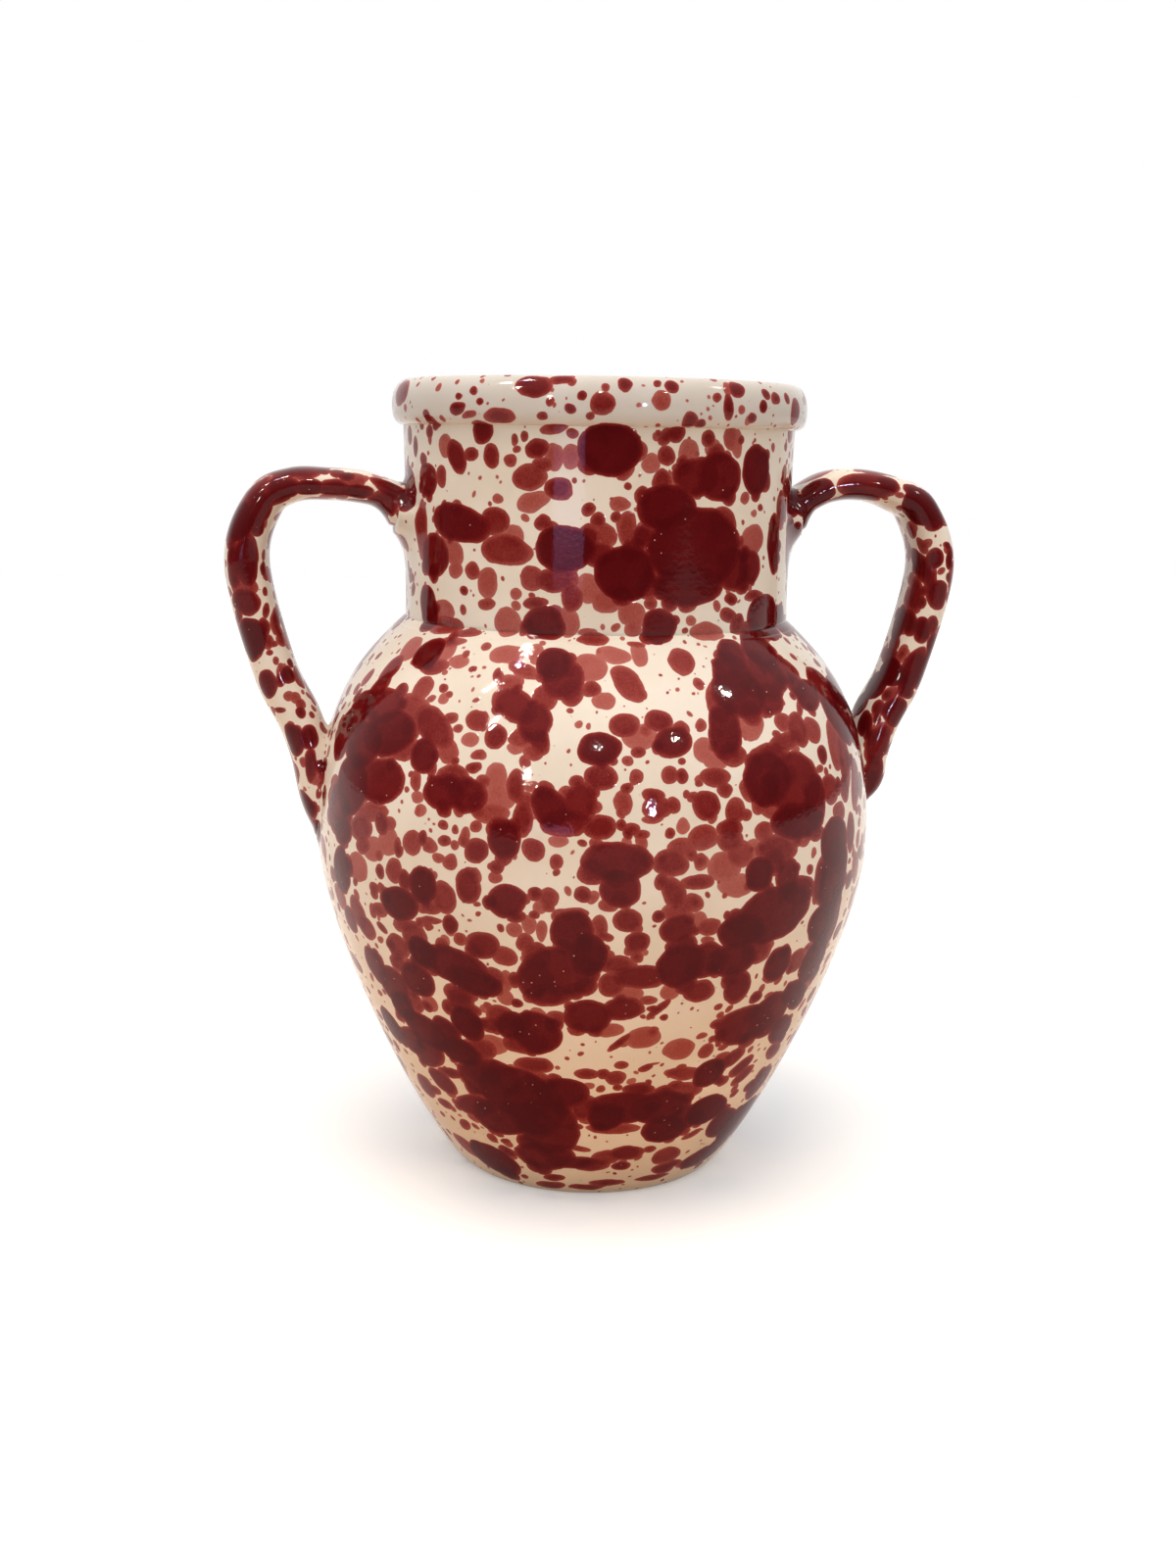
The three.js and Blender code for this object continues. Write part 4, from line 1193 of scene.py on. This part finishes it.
# How far a face looks outwards: on a strap's inner side, on its middle, and upwards in the mouth
INNER_SIDE = -0.2
INNER_MIDDLE = -0.4
UPWARD = 0.3
face_numbers = np.arange(len(spatter.middles))
body_faces = face_numbers < spatter.starts[4]
rim_faces = body_faces & (face_numbers >= spatter.starts[3])
outward = spatter.middles * (1, 1, 0)
outward /= np.maximum(np.linalg.norm(outward, axis=1), 1 * MM)[:, None]
turned_out = np.einsum("ij,ij->i", outward, spatter.normals)
to_camera = np.array(camera_axes()[0]) - spatter.middles
to_camera /= np.linalg.norm(to_camera, axis=1)[:, None]
looked_at = np.einsum("ij,ij->i", to_camera, np.where(body_faces[:, None], outward, spatter.normals))
front = looked_at > FRONT_FROM
outside = 1.0 - body_faces * ((turned_out < 0) | (spatter.middles[:, 2] < BARE_BELOW))
calm = np.ones(len(face_numbers))
for open_place in (Splash(*row) for row in OPEN_PLACES):
    middle, _ = first_hit(body_trees, open_place.across, open_place.down)
    reach = max(open_place.wide, open_place.tall) / 2 * PIXEL_ON_VASE
    calm[np.linalg.norm(spatter.middles - middle, axis=1) < reach] = 0

back = outside * ~front * np.where(rim_faces, 0.5, 1.0)
edge = outside * body_faces * ~rim_faces * (looked_at > EDGE_FROM) * (looked_at < EDGE_TO)
strap_back = ~body_faces * ~front * np.where(turned_out > INNER_SIDE, 1.0, 0.3)
strap_inside = ~body_faces * (turned_out < INNER_MIDDLE)
low = 1 + 1.5 * (spatter.middles[:, 2] < THROWING_SEAM)
seen = outside * front * calm
mouth_back = rim_faces * (spatter.normals[:, 2] > UPWARD) * ~front
everywhere = outside * np.where(rim_faces, 0.6, 1.0)
# How many drops, their least, usual and largest radius in mm, their thickness, how often one may merge
# with another, and where they fall
for random_set in (
    (620, (4, 6, 14), (2.0, 3.4), 0.7, back * body_faces * ~rim_faces),
    (330, (3, 4.5, 8), (1.6, 2.8), 0.85, strap_back),
    (1900, (2, 2.8, 5), (0.6, 2.6), 0.6, np.maximum(back, strap_back)),
    (170, (1.5, 2.6, 5), (1.4, 2.8), 0.8, edge),
    (420, (1.3, 1.8, 3.2), (1.0, 2.4), 0.85, seen * body_faces * low),
    (170, (1.2, 1.8, 3.0), (1.0, 2.4), 0.6, front * ~body_faces),
    (150, (1.4, 2.2, 4.0), (0.9, 2.0), 0.7, strap_inside),
    (600, (1.0, 1.4, 2.6), (0.6, 2.2), 0.3, seen),
    (60, (1.2, 2.0, 4.5), (1.0, 2.6), 0.3, mouth_back),
    (9000, (0.4, 0.7, 1.5), (0.6, 2.0), 0.1, everywhere),
):
    spatter_random(*random_set)
spatter.write()

glaze_tree = glaze_colour_group()
handle_glaze = glazed_material("spattered handle glaze", glaze_tree, 0.25, 0.3)
for piece, glaze in (
    (lower_body, glazed_material("spattered body glaze", glaze_tree, 0.3, 0.35)),
    (shoulder, glazed_material("spattered shoulder glaze", glaze_tree, 0.3, 0.3)),
    (neck, glazed_material("spattered neck glaze", glaze_tree, 0.1, 0.12)),
    # The rim's glaze takes the greyer, darker cream tones of painted shade.
    (rim, glazed_material("spattered rim glaze with painted shade", glaze_tree, 0.3, 0.35, RIM_CREAM_PAINTED_SHADE, RIM_SECOND_TONE_PAINTED_SHADE)),
    (left_handle, handle_glaze),
    (right_handle, handle_glaze),
):
    piece.data.materials.append(glaze)
lower_body.data.materials.append(bare_clay_material())
BASE_WITHIN = 0.1 * MM
base_faces = numbers(lower_body.data.polygons, "center")[:, 2] < BASE_WITHIN
lower_body.data.polygons.foreach_set("material_index", base_faces.astype(int))

make_floor()
make_world()
MIDDLE_HEIGHT = 0.16
WARM_LIGHT = (1.0, 0.74, 0.54)
WARM_WHITE = (1.0, 0.95, 0.86)
WINDOW_BLUE = (0.5, 0.5, 1.0)
PALE_BLUE = (0.72, 0.7, 1.0)
ceiling = lamp_at("ceiling_lamp", (-0.2, -0.45, 2.1), (0, 0, MIDDLE_HEIGHT), 1.3, 1.1, 27, WARM_LIGHT)
ceiling.visible_glossy = False
# Each mirrored lamp's place in the photograph, its width and height, its power and its colour
for mirrored in (
    ("upper_left_spot", body_trees, 501, 700, 0.035, 0.18, 9, WARM_WHITE),
    ("inner_left_spot", body_trees, 504, 738, 0.035, 0.18, 9, WARM_WHITE),
    ("lower_left_spot", body_trees, 540, 790, 0.05, 0.1, 7, WARM_WHITE),
    ("right_spot", body_trees, 741, 708, 0.05, 0.14, 7, WARM_WHITE),
    ("middle_spot", body_trees, 609, 761, 0.03, 0.04, 4.5, WARM_WHITE),
    ("near_right_spot", body_trees, 690, 755, 0.03, 0.05, 3, WARM_WHITE),
    ("rim_spot", body_trees, 540, 388, 0.12, 0.05, 5, WARM_WHITE),
    ("upper_neck_window", body_trees, 580, 464, 0.5, 0.05, 0.25, WINDOW_BLUE),
    ("lower_neck_window", body_trees, 580, 551, 0.5, 0.05, 0.25, WINDOW_BLUE),
    ("left_arch_window", handle_trees, 282, 490, 0.06, 0.1, 5, PALE_BLUE),
    ("right_arch_window", handle_trees, 855, 497, 0.06, 0.1, 5, PALE_BLUE),
):
    mirrored_lamp(*mirrored)

PIECES = {
    lower_body: ("lower_body", ["lower_body"]),
    shoulder: ("shoulder", ["shoulder"]),
    neck: ("neck", ["neck"]),
    rim: ("rim", ["rim"]),
    left_handle: ("left_handle", ["left_handle", "left_handle_upper_luting", "left_handle_lower_luting"]),
    right_handle: (
        "right_handle", ["right_handle", "right_handle_upper_luting", "right_handle_lower_luting"],
    ),
}
for piece, (slot, nodes) in PIECES.items():
    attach(piece, "root")
    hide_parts(*nodes)
